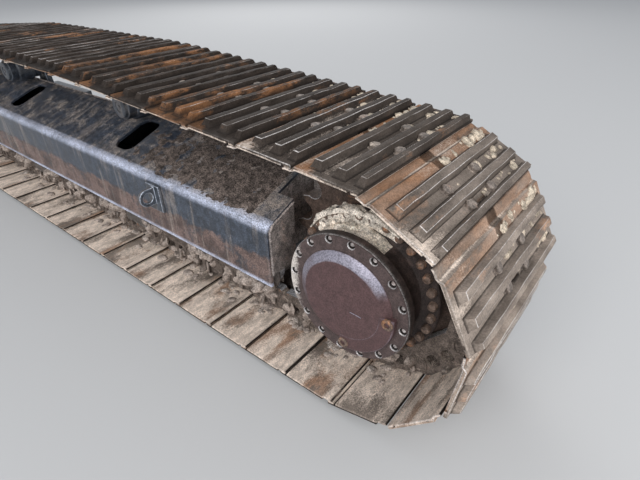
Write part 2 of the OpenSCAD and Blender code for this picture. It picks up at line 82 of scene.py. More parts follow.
class Graph:
    """Adds nodes to a material's tree and links them."""

    def __init__(self, material: bpy.types.Material) -> None:
        """Empties the tree.

        Args:
            material: The material whose nodes are made.
        """
        material.use_nodes = True
        self.tree = material.node_tree
        self.tree.nodes.clear()
        coordinates = self.tree.nodes.new("ShaderNodeTexCoord")
        self.place = coordinates.outputs["Object"]

    def feed(self, socket: bpy.types.NodeSocket, value: object) -> None:
        """Links a socket to another one, or sets its value.

        Args:
            socket: The input.
            value: An output, a number or a colour.
        """
        if isinstance(value, bpy.types.NodeSocket):
            self.tree.links.new(value, socket)
        else:
            socket.default_value = value

    def math(self, operation: str, a: object, b: object = 0.0) -> bpy.types.NodeSocket:
        """Adds a Math node whose result is held between 0 and 1.

        Args:
            operation: The node's operation.
            a: Its first value or socket.
            b: Its second value or socket.

        Returns:
            The result's socket.
        """
        node = self.tree.nodes.new("ShaderNodeMath")
        node.operation = operation
        node.use_clamp = True
        self.feed(node.inputs[0], a)
        self.feed(node.inputs[1], b)
        return node.outputs[0]

    def open_math(self, operation: str, a: object, b: object) -> bpy.types.NodeSocket:
        """Adds a Math node whose result may lie below 0 or above 1.

        Args:
            operation: The node's operation.
            a: Its first value or socket.
            b: Its second value or socket.

        Returns:
            The result's socket.
        """
        result = self.math(operation, a, b)
        result.node.use_clamp = False
        return result

    def noise(self, scale: float, detail: float = 5.0, rough: float = 0.6, shift: float = 0.0,
              stretch: Triple = (1.0, 1.0, 1.0)) -> bpy.types.NodeSocket:
        """Adds a noise pattern on object coordinates.

        Args:
            scale: Features in a metre.
            detail: Octaves.
            rough: Weight of the fine octaves.
            shift: Moves the pattern, so that two of them differ.
            stretch: Scale along each axis.

        Returns:
            The noise value's socket.
        """
        mapping = self.tree.nodes.new("ShaderNodeMapping")
        mapping.inputs["Location"].default_value = (shift, shift * 0.7, -shift)
        mapping.inputs["Scale"].default_value = stretch
        self.tree.links.new(self.place, mapping.inputs["Vector"])
        node = self.tree.nodes.new("ShaderNodeTexNoise")
        self.tree.links.new(mapping.outputs["Vector"], node.inputs["Vector"])
        node.inputs["Scale"].default_value = scale
        node.inputs["Detail"].default_value = detail
        node.inputs["Roughness"].default_value = rough
        return node.outputs["Fac"]

    def step(self, value: object, low: float, high: float) -> bpy.types.NodeSocket:
        """Adds a mask that rises from 0 at low to 1 at high, or falls where low is the larger.

        Args:
            value: What is compared.
            low: Where the mask is 0.
            high: Where it is 1.

        Returns:
            The mask's socket.
        """
        node = self.tree.nodes.new("ShaderNodeMapRange")
        node.interpolation_type = "SMOOTHSTEP"
        self.feed(node.inputs["Value"], value)
        node.inputs["From Min"].default_value = low
        node.inputs["From Max"].default_value = high
        return node.outputs["Result"]

    def mix(self, mask: object, a: object, b: object) -> bpy.types.NodeSocket:
        """Adds a colour that goes from a to b with the mask.

        Args:
            mask: The share of b.
            a: The first colour or socket.
            b: The second colour or socket.

        Returns:
            The colour's socket.
        """
        node = self.tree.nodes.new("ShaderNodeMix")
        node.data_type = "RGBA"
        self.feed(node.inputs[0], mask)
        for socket, value in ((node.inputs[6], a), (node.inputs[7], b)):
            self.feed(socket, (*value, 1.0) if isinstance(value, tuple) else value)
        return node.outputs[2]

    def blend(self, mask: object, a: object, b: object) -> bpy.types.NodeSocket:
        """Adds a number that goes from a to b with the mask.

        Args:
            mask: The share of b.
            a: The first number or socket.
            b: The second number or socket.

        Returns:
            The number's socket.
        """
        node = self.tree.nodes.new("ShaderNodeMix")
        node.data_type = "FLOAT"
        self.feed(node.inputs[0], mask)
        self.feed(node.inputs[2], a)
        self.feed(node.inputs[3], b)
        return node.outputs[0]

    def attribute(self, name: str) -> bpy.types.NodeSocket:
        """Reads a layer of the mesh.

        Args:
            name: The layer's name.

        Returns:
            The socket of its value.
        """
        node = self.tree.nodes.new("ShaderNodeAttribute")
        node.attribute_name = name
        return node.outputs["Fac"]

    def shade(self, colour: object, value: object) -> bpy.types.NodeSocket:
        """Multiplies a colour by a number.

        Args:
            colour: The colour's socket.
            value: The number's socket.

        Returns:
            The product's socket.
        """
        node = self.tree.nodes.new("ShaderNodeMix")
        node.data_type = "RGBA"
        node.blend_type = "MULTIPLY"
        node.inputs[0].default_value = 1.0
        self.feed(node.inputs[6], colour)
        self.feed(node.inputs[7], value)
        return node.outputs[2]

    def along(self, axis: int) -> bpy.types.NodeSocket:
        """Reads one object coordinate.

        Args:
            axis: 0 for X, 1 for Y or 2 for Z.

        Returns:
            The coordinate's socket.
        """
        split = self.tree.nodes.new("ShaderNodeSeparateXYZ")
        self.tree.links.new(self.place, split.inputs[0])
        return split.outputs[axis]

    def upward(self) -> bpy.types.NodeSocket:
        """Reads how far a face looks up.

        Returns:
            The socket of the normal's Z.
        """
        geometry = self.tree.nodes.new("ShaderNodeNewGeometry")
        split = self.tree.nodes.new("ShaderNodeSeparateXYZ")
        self.tree.links.new(geometry.outputs["Normal"], split.inputs[0])
        return split.outputs["Z"]


@dataclass(frozen=True)
class Band:
    """A soft bright stripe of painted highlight: where a coordinate lies near a middle, on faces beyond a
    width.
    """

    axis: int
    middle: float
    half: float
    amount: float = 1.0
    beyond_y: float = -1.0


@dataclass(frozen=True)
class Finish:
    """A weathered metal finish: a base under rust, dried mud, bright wear, a near-black mix of dirt and
    painted shade, and soft stripes of painted highlight.
    """

    name: str
    slot: Slot
    base: Colour
    rust: Colour = (0.30, 0.14, 0.070)
    mud: Colour = (0.34, 0.28, 0.22)
    # Near-black colour of dirt and of painted shade in joints, recesses, valleys and at the feet of grousers
    dirt_and_shade: Colour = (0.022, 0.018, 0.016)
    bright: Colour = (0.60, 0.59, 0.60)
    rust_share: float = 0.4
    mud_share: float = 0.35
    mud_up: float = 0.12
    low_rust: float = 0.0
    rear_mud: float = 0.0
    contrast: float = 1.0
    gloss: float = 0.5
    stretch: Triple = (1.0, 1.0, 1.0)
    rough: float = 0.6
    metal: float = 0.0
    coat: float = 0.0
    bump: float = 0.004
    scale: float = 1.0
    speckle: float = 0.38
    streaks: float = 0.0
    sheen_bands: tuple[Band, ...] = ()

    def spread(self, colour: Colour, low: float, high: float) -> tuple[Colour, Colour]:
        """Returns a darker and a lighter tone of a colour."""
        factors = (1 + (value - 1) * self.contrast for value in (low, high))
        return tuple(tuple(factor * c for c in colour) for factor in factors)

    def sheen(self, g: Graph, colour: bpy.types.NodeSocket, patches: bpy.types.NodeSocket,
              grains: bpy.types.NodeSocket) -> bpy.types.NodeSocket:
        """Lays the soft bright stripes of painted highlight over a colour.

        Args:
            g: The material's graph.
            colour: The colour under them.
            patches: Noise that makes a stripe stronger and weaker along its way.
            grains: Noise that breaks it up.

        Returns:
            The colour's socket.
        """
        for band in self.sheen_bands:
            off = g.math("ABSOLUTE", g.open_math("SUBTRACT", g.along(band.axis), band.middle))
            beyond = g.step(g.along(1), band.beyond_y, band.beyond_y + 0.01)
            stripe = g.math("MULTIPLY", g.step(off, band.half, 0.0), beyond)
            strength = g.blend(g.step(patches, 0.35, 0.6), 0.55 * band.amount, band.amount)
            stripe = g.math("MULTIPLY", stripe, strength)
            broken = g.blend(g.step(grains, 0.3, 0.55), 0.55, 1.0)
            colour = g.mix(g.math("MULTIPLY", stripe, broken), colour, self.bright)
        return colour

    def mud_mask(self, g: Graph, fine: bpy.types.NodeSocket,
                 blots: bpy.types.NodeSocket) -> bpy.types.NodeSocket:
        """Makes the mask of dried mud, with more on faces that look up and towards the drive where asked.

        Args:
            g: The material's graph.
            fine: Noise for its ragged edge.
            blots: Noise for its patches.

        Returns:
            The mask's socket.
        """
        at = g.math("ADD", g.math("MULTIPLY", blots, 0.6), g.math("MULTIPLY", fine, 0.25))
        at = g.math("ADD", at, g.math("MULTIPLY", g.step(g.upward(), 0.25, 0.95), self.mud_up))
        at = g.math("ADD", at, g.math("MULTIPLY", g.attribute("mud"), 0.4))
        if self.rear_mud:
            at = g.math("ADD", at, g.math("MULTIPLY", g.step(g.along(0), -0.6, -1.4), self.rear_mud))
        edge = 0.66 - 0.30 * self.mud_share
        return g.step(at, edge, edge + 0.14)

    def material(self) -> bpy.types.Material:
        """Builds the finish's material, or finds it if it is built already.

        Returns:
            The material.
        """
        known = bpy.data.materials.get(self.name)
        if known:
            return known
        made = bpy.data.materials.new(self.name)
        g = Graph(made)
        # Patterns, from coarse to fine
        patches = g.noise(5.0 * self.scale, 6, 0.66, stretch=self.stretch)
        grains = g.noise(40 * self.scale, 8, 0.74, shift=3.1, stretch=self.stretch)
        fine = g.noise(230 * self.scale, 5, 0.7, shift=1.7)
        blots = g.noise(13 * self.scale, 7, 0.72, shift=8.3, stretch=self.stretch)
        tone = g.mix(g.step(grains, 0.34, 0.66), *self.spread(self.base, 0.55, 1.5))
        rusty = g.mix(g.step(blots, 0.35, 0.65), *self.spread(self.rust, 0.55, 1.45))
        muddy = g.mix(g.step(grains, 0.32, 0.68), *self.spread(self.mud, 0.62, 1.3))
        # Masks
        rust_at = g.math("ADD", g.math("MULTIPLY", patches, 0.5), g.math("MULTIPLY", grains, 0.5))
        rust_at = g.math("ADD", rust_at, g.math("MULTIPLY", g.attribute("rust"), 0.25))
        if self.low_rust:
            low_down = g.step(g.along(2), 0.43, 0.38)
            rust_at = g.math("ADD", rust_at, g.math("MULTIPLY", low_down, self.low_rust))
        edge = 0.70 - 0.34 * self.rust_share
        rust_mask = g.step(rust_at, edge, edge + 0.12)
        mud_mask = self.mud_mask(g, fine, blots)
        wear_mask = g.step(g.math("MULTIPLY", g.attribute("wear"), g.math("ADD", grains, 0.38)), 0.25, 0.85)
        # Colour, from the base up
        colour = g.mix(rust_mask, tone, rusty)
        if self.streaks:
            runs = g.noise(34, 4, 0.6, shift=5.0, stretch=(1.0, 0.10, 0.10))
            colour = g.mix(g.math("MULTIPLY", g.step(runs, 0.50, 0.68), self.streaks), colour, muddy)
        colour = g.mix(g.math("MULTIPLY", g.attribute("dust"), g.blend(grains, 0.5, 1.3)), colour, self.mud)
        colour = g.mix(mud_mask, colour, muddy)
        # Painted highlight: the soft bright stripes of sheen
        colour = self.sheen(g, colour, patches, grains)
        colour = g.mix(wear_mask, colour, g.mix(g.step(fine, 0.35, 0.6), *self.spread(self.bright, 0.6, 1.1)))
        colour = g.shade(colour, g.blend(g.step(fine, 0.36, 0.62), 1 - self.speckle, 1 + self.speckle))
        # Dirt and painted shade: the layer darkens joints, recesses, valleys and feet towards near black
        colour = g.mix(g.math("MULTIPLY", g.attribute("dirt_and_shade"), g.step(grains, 0.25, 0.5)), colour, self.dirt_and_shade)
        # Gloss
        shader = g.tree.nodes.new("ShaderNodeBsdfPrincipled")
        g.feed(shader.inputs["Base Color"], colour)
        covered = g.math("MAXIMUM", rust_mask, mud_mask)
        dull = g.blend(covered, g.blend(grains, self.rough - 0.14, self.rough + 0.14), 0.88)
        g.feed(shader.inputs["Roughness"], g.blend(wear_mask, dull, 0.40))
        bare = g.math("MULTIPLY", g.math("SUBTRACT", 1.0, covered), self.metal)
        g.feed(shader.inputs["Metallic"], g.math("MAXIMUM", bare, g.math("MULTIPLY", wear_mask, 0.5)))
        shader.inputs["Specular IOR Level"].default_value = self.gloss
        if self.coat:
            shader.inputs["Coat Weight"].default_value = self.coat
            shader.inputs["Coat Roughness"].default_value = 0.25
        # Relief
        height = g.math("ADD", g.math("MULTIPLY", grains, 0.45), g.math("MULTIPLY", fine, 0.25))
        height = g.math("ADD", height, g.math("MULTIPLY", mud_mask, 0.3))
        bump = g.tree.nodes.new("ShaderNodeBump")
        bump.inputs["Strength"].default_value = 0.8
        bump.inputs["Distance"].default_value = self.bump
        g.feed(bump.inputs["Height"], height)
        g.feed(shader.inputs["Normal"], bump.outputs["Normal"])
        output = g.tree.nodes.new("ShaderNodeOutputMaterial")
        g.feed(output.inputs["Surface"], shader.outputs["BSDF"])
        return made


SHOE_STEEL = Finish("worn_shoe_steel", Slot.SHOE, (0.040, 0.031, 0.026), rust=(0.26, 0.122, 0.056),
                    mud=(0.66, 0.550, 0.465), bright=(0.76, 0.71, 0.68), rust_share=0.36, mud_share=0.26,
                    mud_up=0.0, bump=0.005, contrast=0.95, speckle=0.22, gloss=0.05,
                    stretch=(1.0, 0.42, 1.0))
LINK_IRON = Finish("muddy_link_iron", Slot.SHOE, (0.13, 0.105, 0.09), mud=(0.38, 0.31, 0.26), mud_share=0.6,
                   gloss=0.1)
BOLT_STEEL = Finish("shoe_bolt_steel", Slot.SHOE, (0.17, 0.14, 0.12), mud=(0.42, 0.35, 0.29),
                    rust_share=0.4, mud_share=0.4, bright=(0.40, 0.37, 0.35), gloss=0.3, bump=0.003)
CLOD_MUD = Finish("cream_clods", Slot.SHOE, (0.50, 0.42, 0.33), rust=(0.34, 0.26, 0.19),
                  mud=(0.62, 0.54, 0.43), rust_share=0.35, mud_share=0.45, rough=0.9, bump=0.005, gloss=0.2)
SPROCKET_IRON = Finish("greasy_sprocket_iron", Slot.SPROCKET, (0.085, 0.058, 0.046), mud_share=0.35,
                       rough=0.6, gloss=0.3)
DRIVE_IRON = Finish("dark_drive_iron", Slot.DRIVE, (0.040, 0.029, 0.026), rust=(0.085, 0.055, 0.045),
                    mud=(0.20, 0.16, 0.13), bright=(0.50, 0.48, 0.47), rust_share=0.45, mud_share=0.18,
                    mud_up=0.0, rough=0.55, gloss=0.35)
FLANGE_PAINT = Finish("red_brown_flange_paint", Slot.DRIVE, (0.072, 0.050, 0.047),
                      rust=(0.105, 0.067, 0.058), mud=(0.52, 0.47, 0.43), bright=(0.66, 0.64, 0.64),
                      rust_share=0.3, mud_share=0.20, mud_up=0.0, rough=0.5, bump=0.002, contrast=0.7,
                      speckle=0.3, gloss=0.3)
# Its bluish bright colour is the painted highlight on the cover's worn sloped edge
COVER_PAINT = Finish("red_brown_cover_paint", Slot.COVER, (0.084, 0.046, 0.046), rust=(0.104, 0.058, 0.053),
                     mud=(0.12, 0.085, 0.078), bright=(0.30, 0.285, 0.34), rust_share=0.28, mud_share=0.05,
                     mud_up=0.0, rough=0.5, bump=0.002, contrast=0.35, speckle=0.26, gloss=0.35)
PLUG_STEEL = Finish("rusty_plug_steel", Slot.PLUG, (0.16, 0.11, 0.085), rust=(0.36, 0.165, 0.075),
                    bright=(0.72, 0.72, 0.74), rust_share=0.55, mud_share=0.25, metal=0.2, bump=0.001)
DRIED_MUD = Finish("dried_mud", Slot.DRIVE, (0.68, 0.61, 0.53), rust=(0.26, 0.21, 0.165),
                   mud=(0.72, 0.66, 0.56), rust_share=0.30, mud_share=0.50, mud_up=0.1, rough=0.9,
                   bump=0.008, speckle=0.45, gloss=0.2)
RAIL_MUD = Finish("rail_mud", Slot.GUARD, (0.33, 0.275, 0.24), rust=(0.16, 0.12, 0.10),
                  mud=(0.80, 0.73, 0.66), rust_share=0.40, mud_share=0.42, mud_up=0.1, rough=0.9,
                  bump=0.006, speckle=0.45, gloss=0.2)
FRAME_PAINT = Finish("blue_black_frame_paint", Slot.FRAME, (0.040, 0.048, 0.062),
                     rust=(0.110, 0.078, 0.065), mud=(0.20, 0.165, 0.14), bright=(0.46, 0.50, 0.58),
                     rust_share=0.45, mud_share=0.16, mud_up=0.08, rough=0.36, coat=0.2, bump=0.004,
                     streaks=0.35)
# The skin's bluish bright colour serves its wear and its painted highlight stripes: a sheen along the roof's
# bend, and a bright line on the lower edge that is worn edge and painted highlight
SKIN_PAINT = Finish("greasy_skin_paint", Slot.FRAME, (0.034, 0.043, 0.060), rust=(0.128, 0.086, 0.075),
                    mud=(0.29, 0.245, 0.215), bright=(0.54, 0.58, 0.72), rust_share=0.28, mud_share=0.02,
                    mud_up=0.25, low_rust=0.24, rear_mud=0.05, rough=0.38, coat=0.2, bump=0.005,
                    speckle=0.55, streaks=0.45,
                    sheen_bands=(Band(2, 0.517, 0.026, 0.82, 0.18), Band(2, 0.296, 0.016, 1.0, 0.18)))
END_PLATE = Finish("rusty_end_plate_paint", Slot.FRAME, (0.26, 0.225, 0.21), rust=(0.31, 0.225, 0.185),
                   mud=(0.42, 0.37, 0.33), rust_share=0.5, mud_share=0.35, rough=0.6, bump=0.006,
                   contrast=1.2, speckle=0.5, gloss=0.2)
ROOF_MUD = Finish("brown_roof_mud", Slot.FRAME, (0.098, 0.078, 0.068), rust=(0.14, 0.100, 0.080),
                  mud=(0.42, 0.37, 0.33), rust_share=0.35, mud_share=0.44, mud_up=0.0, rough=0.85,
                  bump=0.010, contrast=1.5, speckle=0.8, gloss=0.25)
ROLLER_IRON = Finish("worn_roller_iron", Slot.ROLLER, (0.13, 0.11, 0.10), mud=(0.36, 0.31, 0.26),
                     mud_share=0.42, metal=0.35)
SHAFT_STEEL = Finish("dull_shaft_steel", Slot.SHAFT, (0.30, 0.28, 0.26), mud_share=0.3, metal=0.5,
                     rough=0.45, bump=0.001)
GUARD_IRON = Finish("muddy_guard_iron", Slot.GUARD, (0.10, 0.088, 0.080), mud=(0.36, 0.315, 0.265),
                    mud_share=0.5, mud_up=0.15)


def smooth(value: float, low: float, high: float) -> float:
    """Returns 0 below low, 1 above high and an even rise between."""
    x = min(1.0, max(0.0, (value - low) / (high - low)))
    return x * x * (3 - 2 * x)


# The layers that the finishes read; the dirt layer also carries painted shade
LAYERS = ("wear", "mud", "rust", "dirt_and_shade", "dust")


def new_mesh(source: Optional[bpy.types.Mesh] = None) -> bmesh.types.BMesh:
    """Makes a mesh with the layers that the finishes read.

    Args:
        source: A mesh that it starts as a copy of, or None for an empty one.

    Returns:
        The new mesh.
    """
    bm = bmesh.new()
    if source:
        bm.from_mesh(source)
    for name in LAYERS:
        if name not in bm.loops.layers.float:
            bm.loops.layers.float.new(name)
    return bm


def tint(bm: bmesh.types.BMesh, layer: str, value: Callable[[Vector], float]) -> None:
    """Raises a finish layer at each corner to a value that depends on its place.

    Args:
        bm: The mesh.
        layer: The layer's name.
        value: Gives the value at a place.
    """
    key = bm.loops.layers.float[layer]
    for face in bm.faces:
        for loop in face.loops:
            loop[key] = max(loop[key], value(loop.vert.co))


def paint(bm: bmesh.types.BMesh, faces: Iterable[bmesh.types.BMFace], layer: str, value: float) -> None:
    """Sets a finish layer on whole faces.

    Args:
        bm: The mesh.
        faces: The faces.
        layer: The layer's name.
        value: The layer's new value.
    """
    key = bm.loops.layers.float[layer]
    for face in faces:
        for loop in face.loops:
            loop[key] = value


def sharp_edges(bm: bmesh.types.BMesh, degrees: float = 35.0) -> list[bmesh.types.BMEdge]:
    """Returns the edges that turn by more than an angle."""
    limit = math.radians(degrees)
    return [e for e in bm.edges if len(e.link_faces) == 2 and e.calc_face_angle(0.0) > limit]


def bevel(bm: bmesh.types.BMesh, edges: Sequence[bmesh.types.BMEdge], width: float, segments: int = 2,
          wear: float = 0.0) -> list[bmesh.types.BMFace]:
    """Rounds edges and marks them as worn.

    Args:
        bm: The mesh.
        edges: Its edges to round.
        width: Width of the round.
        segments: Steps in the round.
        wear: Wear of the new faces.

    Returns:
        The new faces.
    """
    made = bmesh.ops.bevel(bm, geom=list(edges), offset=width, offset_type="OFFSET", segments=segments,
                           profile=0.5, affect="EDGES", material=-1, clamp_overlap=True)["faces"]
    paint(bm, made, "wear", wear)
    return made


def polar(radius: float, degrees: float, along: float = 0.0, out: float = 0.0) -> Point2:
    """Returns the point at a bearing on a circle round (along, out)."""
    a = math.radians(degrees)
    return along + radius * math.cos(a), out + radius * math.sin(a)


def even(first: float, last: float, count: int) -> list[float]:
    """Returns places at even steps from the first to the last."""
    return [first + i * (last - first) / (count - 1) for i in range(count)]


def push_out(bm: bmesh.types.BMesh, faces: Sequence[bmesh.types.BMFace],
             way: Sequence[float]) -> tuple[list[bmesh.types.BMFace], list[bmesh.types.BMVert]]:
    """Pushes faces out, with walls behind them. The old faces stay, also inside a solid pushed in steps.

    Args:
        bm: The mesh.
        faces: The faces that are pushed.
        way: How far they go.

    Returns:
        The faces and the vertices at the new end.
    """
    pushed = bmesh.ops.extrude_face_region(bm, geom=list(faces), use_keep_orig=True)["geom"]
    verts = [g for g in pushed if isinstance(g, bmesh.types.BMVert)]
    bmesh.ops.translate(bm, verts=verts, vec=way)
    return [g for g in pushed if isinstance(g, bmesh.types.BMFace)], verts


def extend(bm: bmesh.types.BMesh, edges: Sequence[bmesh.types.BMEdge],
           way: Sequence[float] = (0, 0, 0)) -> tuple[list[bmesh.types.BMEdge], list[bmesh.types.BMVert]]:
    """Pushes open edges out to walls.

    Args:
        bm: The mesh.
        edges: The edges that are pushed.
        way: How far they go.

    Returns:
        The edges and the vertices at the new end.
    """
    pushed = bmesh.ops.extrude_edge_only(bm, edges=list(edges))["geom"]
    verts = [g for g in pushed if isinstance(g, bmesh.types.BMVert)]
    bmesh.ops.translate(bm, verts=verts, vec=way)
    far = [g for g in pushed if isinstance(g, bmesh.types.BMEdge) and all(v in verts for v in g.verts)]
    return far, verts


def fill_between(bm: bmesh.types.BMesh,
                 loops: Iterable[Sequence[Sequence[float]]]) -> list[list[bmesh.types.BMEdge]]:
    """Adds closed lines and fills the flat area between the outer one and its holes.

    Args:
        bm: The mesh.
        loops: Points of the outer line, and of each hole.

    Returns:
        The edges of each line.
    """
    rings = []
    for loop in loops:
        verts = [bm.verts.new(p) for p in loop]
        rings.append([bm.edges.new((verts[i], verts[(i + 1) % len(verts)])) for i in range(len(verts))])
    every = [e for ring in rings for e in ring]
    bmesh.ops.triangle_fill(bm, use_beauty=True, use_dissolve=False, edges=every)
    return rings


def add_bar(bm: bmesh.types.BMesh, start: Sequence[float], end: Sequence[float], radius: float,
            end_radius: float = -1.0, segments: int = 32) -> list[bmesh.types.BMVert]:
    """Adds a closed round bar or cone between two points.

    Args:
        bm: The mesh.
        start: Middle of the first end.
        end: Middle of the second end.
        radius: Radius at the start.
        end_radius: Radius at the end, or below 0 for the same.
        segments: Sides of the bar.

    Returns:
        The new vertices.
    """
    a, b = Vector(start), Vector(end)
    turn = (b - a).to_track_quat("Z", "Y").to_matrix().to_4x4()
    return bmesh.ops.create_cone(bm, cap_ends=True, segments=segments, radius1=radius,
                                 radius2=radius if end_radius < 0 else end_radius, depth=(b - a).length,
                                 matrix=Matrix.Translation((a + b) / 2) @ turn)["verts"]


def add_ring(bm: bmesh.types.BMesh, profile: Sequence[Point2], centre: Sequence[float],
             steps: int = 64) -> list[bmesh.types.BMVert]:
    """Spins a profile of (radius, y) round an axis along Y.

    Args:
        bm: The mesh.
        profile: Points of the section: closed on itself, unless the first and last radius are 0.
        centre: A point on the axis, from which y is measured.
        steps: Steps round.

    Returns:
        The new vertices.
    """
    before = set(bm.verts)
    at = Vector(centre)
    verts = [bm.verts.new(at + Vector((r, y, 0.0))) for r, y in profile]
    edges = [bm.edges.new(pair) for pair in zip(verts, verts[1:])]
    if profile[0][0] > 0:
        edges.append(bm.edges.new((verts[-1], verts[0])))
    bmesh.ops.spin(bm, geom=verts + edges, cent=at, axis=(0.0, 1.0, 0.0), angle=2 * math.pi, steps=steps,
                   use_merge=True)
    new = [v for v in bm.verts if v not in before]
    bmesh.ops.remove_doubles(bm, verts=new, dist=1e-6)
    return [v for v in bm.verts if v not in before]


def add_slab(bm: bmesh.types.BMesh, outline: Sequence[Vector], way: Vector) -> list[bmesh.types.BMFace]:
    """Adds a flat outline, pushed out to a closed solid.

    Args:
        bm: The mesh.
        outline: Corners of the first face, in order.
        way: From the first face to the second.

    Returns:
        All the faces of the solid.
    """
    before = set(bm.faces)
    push_out(bm, [bm.faces.new([bm.verts.new(p) for p in outline])], way)
    return [f for f in bm.faces if f not in before]


def add_crust(bm: bmesh.types.BMesh, steps: tuple[int, int], place: Callable[[float, float], Vector]) -> None:
    """Adds a ragged sheet of mud, 4 mm thick.

    Args:
        bm: The mesh.
        steps: Its divisions one way and the other.
        place: Gives a point's place from two shares of the sheet, each from 0 to 1.
    """
    before = set(bm.faces)
    for v in bmesh.ops.create_grid(bm, x_segments=steps[0], y_segments=steps[1], size=0.5)["verts"]:
        v.co = place(v.co.x + 0.5, v.co.y + 0.5)
    faces = [f for f in bm.faces if f not in before]
    bmesh.ops.recalc_face_normals(bm, faces=faces)
    bmesh.ops.solidify(bm, geom=faces, thickness=0.004)


def add_bolt(bm: bmesh.types.BMesh, foot: Sequence[float], way: Sequence[float], radius: float, height: float,
             turn: float = 0.0, wear: float = 0.35) -> None:
    """Adds a six-sided bolt head with a washer.

    Args:
        bm: The mesh.
        foot: Middle of the seat.
        way: Direction in which the head stands.
        radius: Radius over the head's corners.
        height: Height of the head.
        turn: Turn of the head, in degrees.
        wear: Wear of the head's top.
    """
    a, up = Vector(foot), Vector(way).normalized()
    spin = Matrix.Rotation(math.radians(turn), 4, "Z")
    turned = up.to_track_quat("Z", "Y").to_matrix().to_4x4() @ spin
    washer, sides, top = (1.28, 1.22, -0.15, 0.18, 12), (1.0, 1.0, 0.1, 0.82, 6), (1.0, 0.82, 0.82, 1.0, 6)
    for r0, r1, z0, z1, count in (washer, sides, top):
        place = Matrix.Translation(a + up * height * (z0 + z1) / 2) @ turned
        made = bmesh.ops.create_cone(bm, cap_ends=True, segments=count, radius1=radius * r0,
                                     radius2=radius * r1, depth=height * (z1 - z0), matrix=place)["verts"]
        if r1 < 1.0:
            paint(bm, {f for v in made for f in v.link_faces}, "wear", wear)


def add_weld(bm: bmesh.types.BMesh, path: Sequence[Sequence[float]], radius: float,
             seed: float = 0.0) -> None:
    """Adds a rippled weld bead along a path.

    Args:
        bm: The mesh.
        path: Points of the bead's middle line.
        radius: Radius of the bead.
        seed: Varies the ripples.
    """
    points = [Vector(p) for p in path]
    stations: list[Vector] = []
    for a, b in zip(points, points[1:]):
        count = max(2, int((b - a).length / 0.012))
        stations += [a.lerp(b, i / count) for i in range(count)]
    stations.append(points[-1])
    rings = []
    for i, p in enumerate(stations):
        way = (stations[min(i + 1, len(stations) - 1)] - stations[max(i - 1, 0)]).normalized()
        size = radius * (0.82 + 0.18 * (i % 2) + 0.25 * noise.noise(p * 60 + Vector((seed, 0, 0))))
        place = Matrix.Translation(p) @ way.to_track_quat("Z", "Y").to_matrix().to_4x4()
        closed = i in (0, len(stations) - 1)
        made = bmesh.ops.create_circle(bm, cap_ends=closed, segments=6, radius=size, matrix=place)
        rings.append(made["verts"])
    for a, b in zip(rings, rings[1:]):
        around = {e for v in (*a, *b) for e in v.link_edges
                  if all(w in a for w in e.verts) or all(w in b for w in e.verts)}
        bmesh.ops.bridge_loops(bm, edges=list(around))


def add_lump(bm: bmesh.types.BMesh, at: Sequence[float], size: Sequence[float], seed: float,
             turn: Optional[Matrix] = None, detail: int = 2) -> None:
    """Adds a rough lump of mud.

    Args:
        bm: The mesh it is added to.
        at: Its middle.
        size: Its half sizes.
        seed: Chooses its shape.
        turn: The axes that its place and sizes are in.
        detail: How finely it is divided.
    """
    verts = bmesh.ops.create_icosphere(bm, subdivisions=detail, radius=1.0)["verts"]
    for v in verts:
        coarse = noise.noise(v.co * 1.6 + Vector((seed, 2 * seed, 0)))
        fine = noise.noise(v.co * 4 + Vector((0, seed, 0)))
        v.co *= 1 + 0.45 * coarse + 0.2 * fine
    shape = Matrix.Translation(at) @ Matrix.Rotation(seed * 2.3, 4, "Z") @ Matrix.Diagonal((*size, 1))
    bmesh.ops.transform(bm, verts=verts, matrix=(turn or Matrix()) @ shape)


def pick(seed: float, i: int) -> float:
    """Returns a number from 0 to 1 that depends only on a seed and a count."""
    return 0.5 + 0.5 * noise.cell(Vector((seed * 7.31 + 0.5, i * 3.17 + 0.25, 1.5)))


def copy_node(name: str, round_by: float = 0.003, wear: float = 0.6) -> bmesh.types.BMesh:
    """Copies a CAD node's mesh, joins its loose triangles and rounds its edges.

    Args:
        name: The CAD node.
        round_by: Width of the rounds.
        wear: Wear of the rounds.

    Returns:
        The new mesh.
    """
    bm = new_mesh(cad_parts[name].data)
    bmesh.ops.remove_doubles(bm, verts=bm.verts, dist=2e-5)
    bmesh.ops.dissolve_limit(bm, angle_limit=math.radians(1.0), verts=bm.verts, edges=bm.edges,
                             use_dissolve_boundaries=False)
    bevel(bm, sharp_edges(bm), round_by, 2, wear)
    return bm


def finish_piece(bm: bmesh.types.BMesh, name: str, finish: Finish, replaces: Sequence[str] = (),
                 body: Body = Body.TRACK, sharp: float = 38.0) -> bpy.types.Object:
    """Makes a mesh a piece of the part.

    Args:
        bm: The finished mesh, which is freed.
        name: Name of the piece.
        finish: Its finish.
        replaces: CAD nodes that it stands for.
        body: The body that it moves with.
        sharp: Angle in degrees over which an edge is drawn sharp.

    Returns:
        The piece.
    """
    bmesh.ops.recalc_face_normals(bm, faces=bm.faces)
    mesh = bpy.data.meshes.new(name)
    bm.to_mesh(mesh)
    bm.free()
    mesh.shade_smooth()
    mesh.set_sharp_from_angle(angle=math.radians(sharp))
    mesh.materials.append(finish.material())
    piece = bpy.data.objects.new(name, mesh)
    bpy.context.scene.collection.objects.link(piece)
    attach(piece, body.value)
    if replaces:
        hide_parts(*replaces)
    LOG.info("%s: %d faces, %s", name, len(mesh.polygons), finish.name)
    return piece


@dataclass(frozen=True)
class Run:
    """One stretch of the pin line: straight, or round a centre clockwise."""

    start: Vector
    end: Vector
    centre: Optional[Vector] = None
    first: float = 0.0
    step: float = 0.0
    links: float = 0.0

    def at(self, u: float) -> Vector:
        """Finds a point on the stretch.

        Args:
            u: How many links along it lies.

        Returns:
            The point.
        """
        if self.centre is None:
            return self.start.lerp(self.end, u / self.links)
        radius = (self.start - self.centre).length
        angle = math.radians(self.first - self.step * u)
        return self.centre + radius * Vector((math.cos(angle), math.sin(angle)))


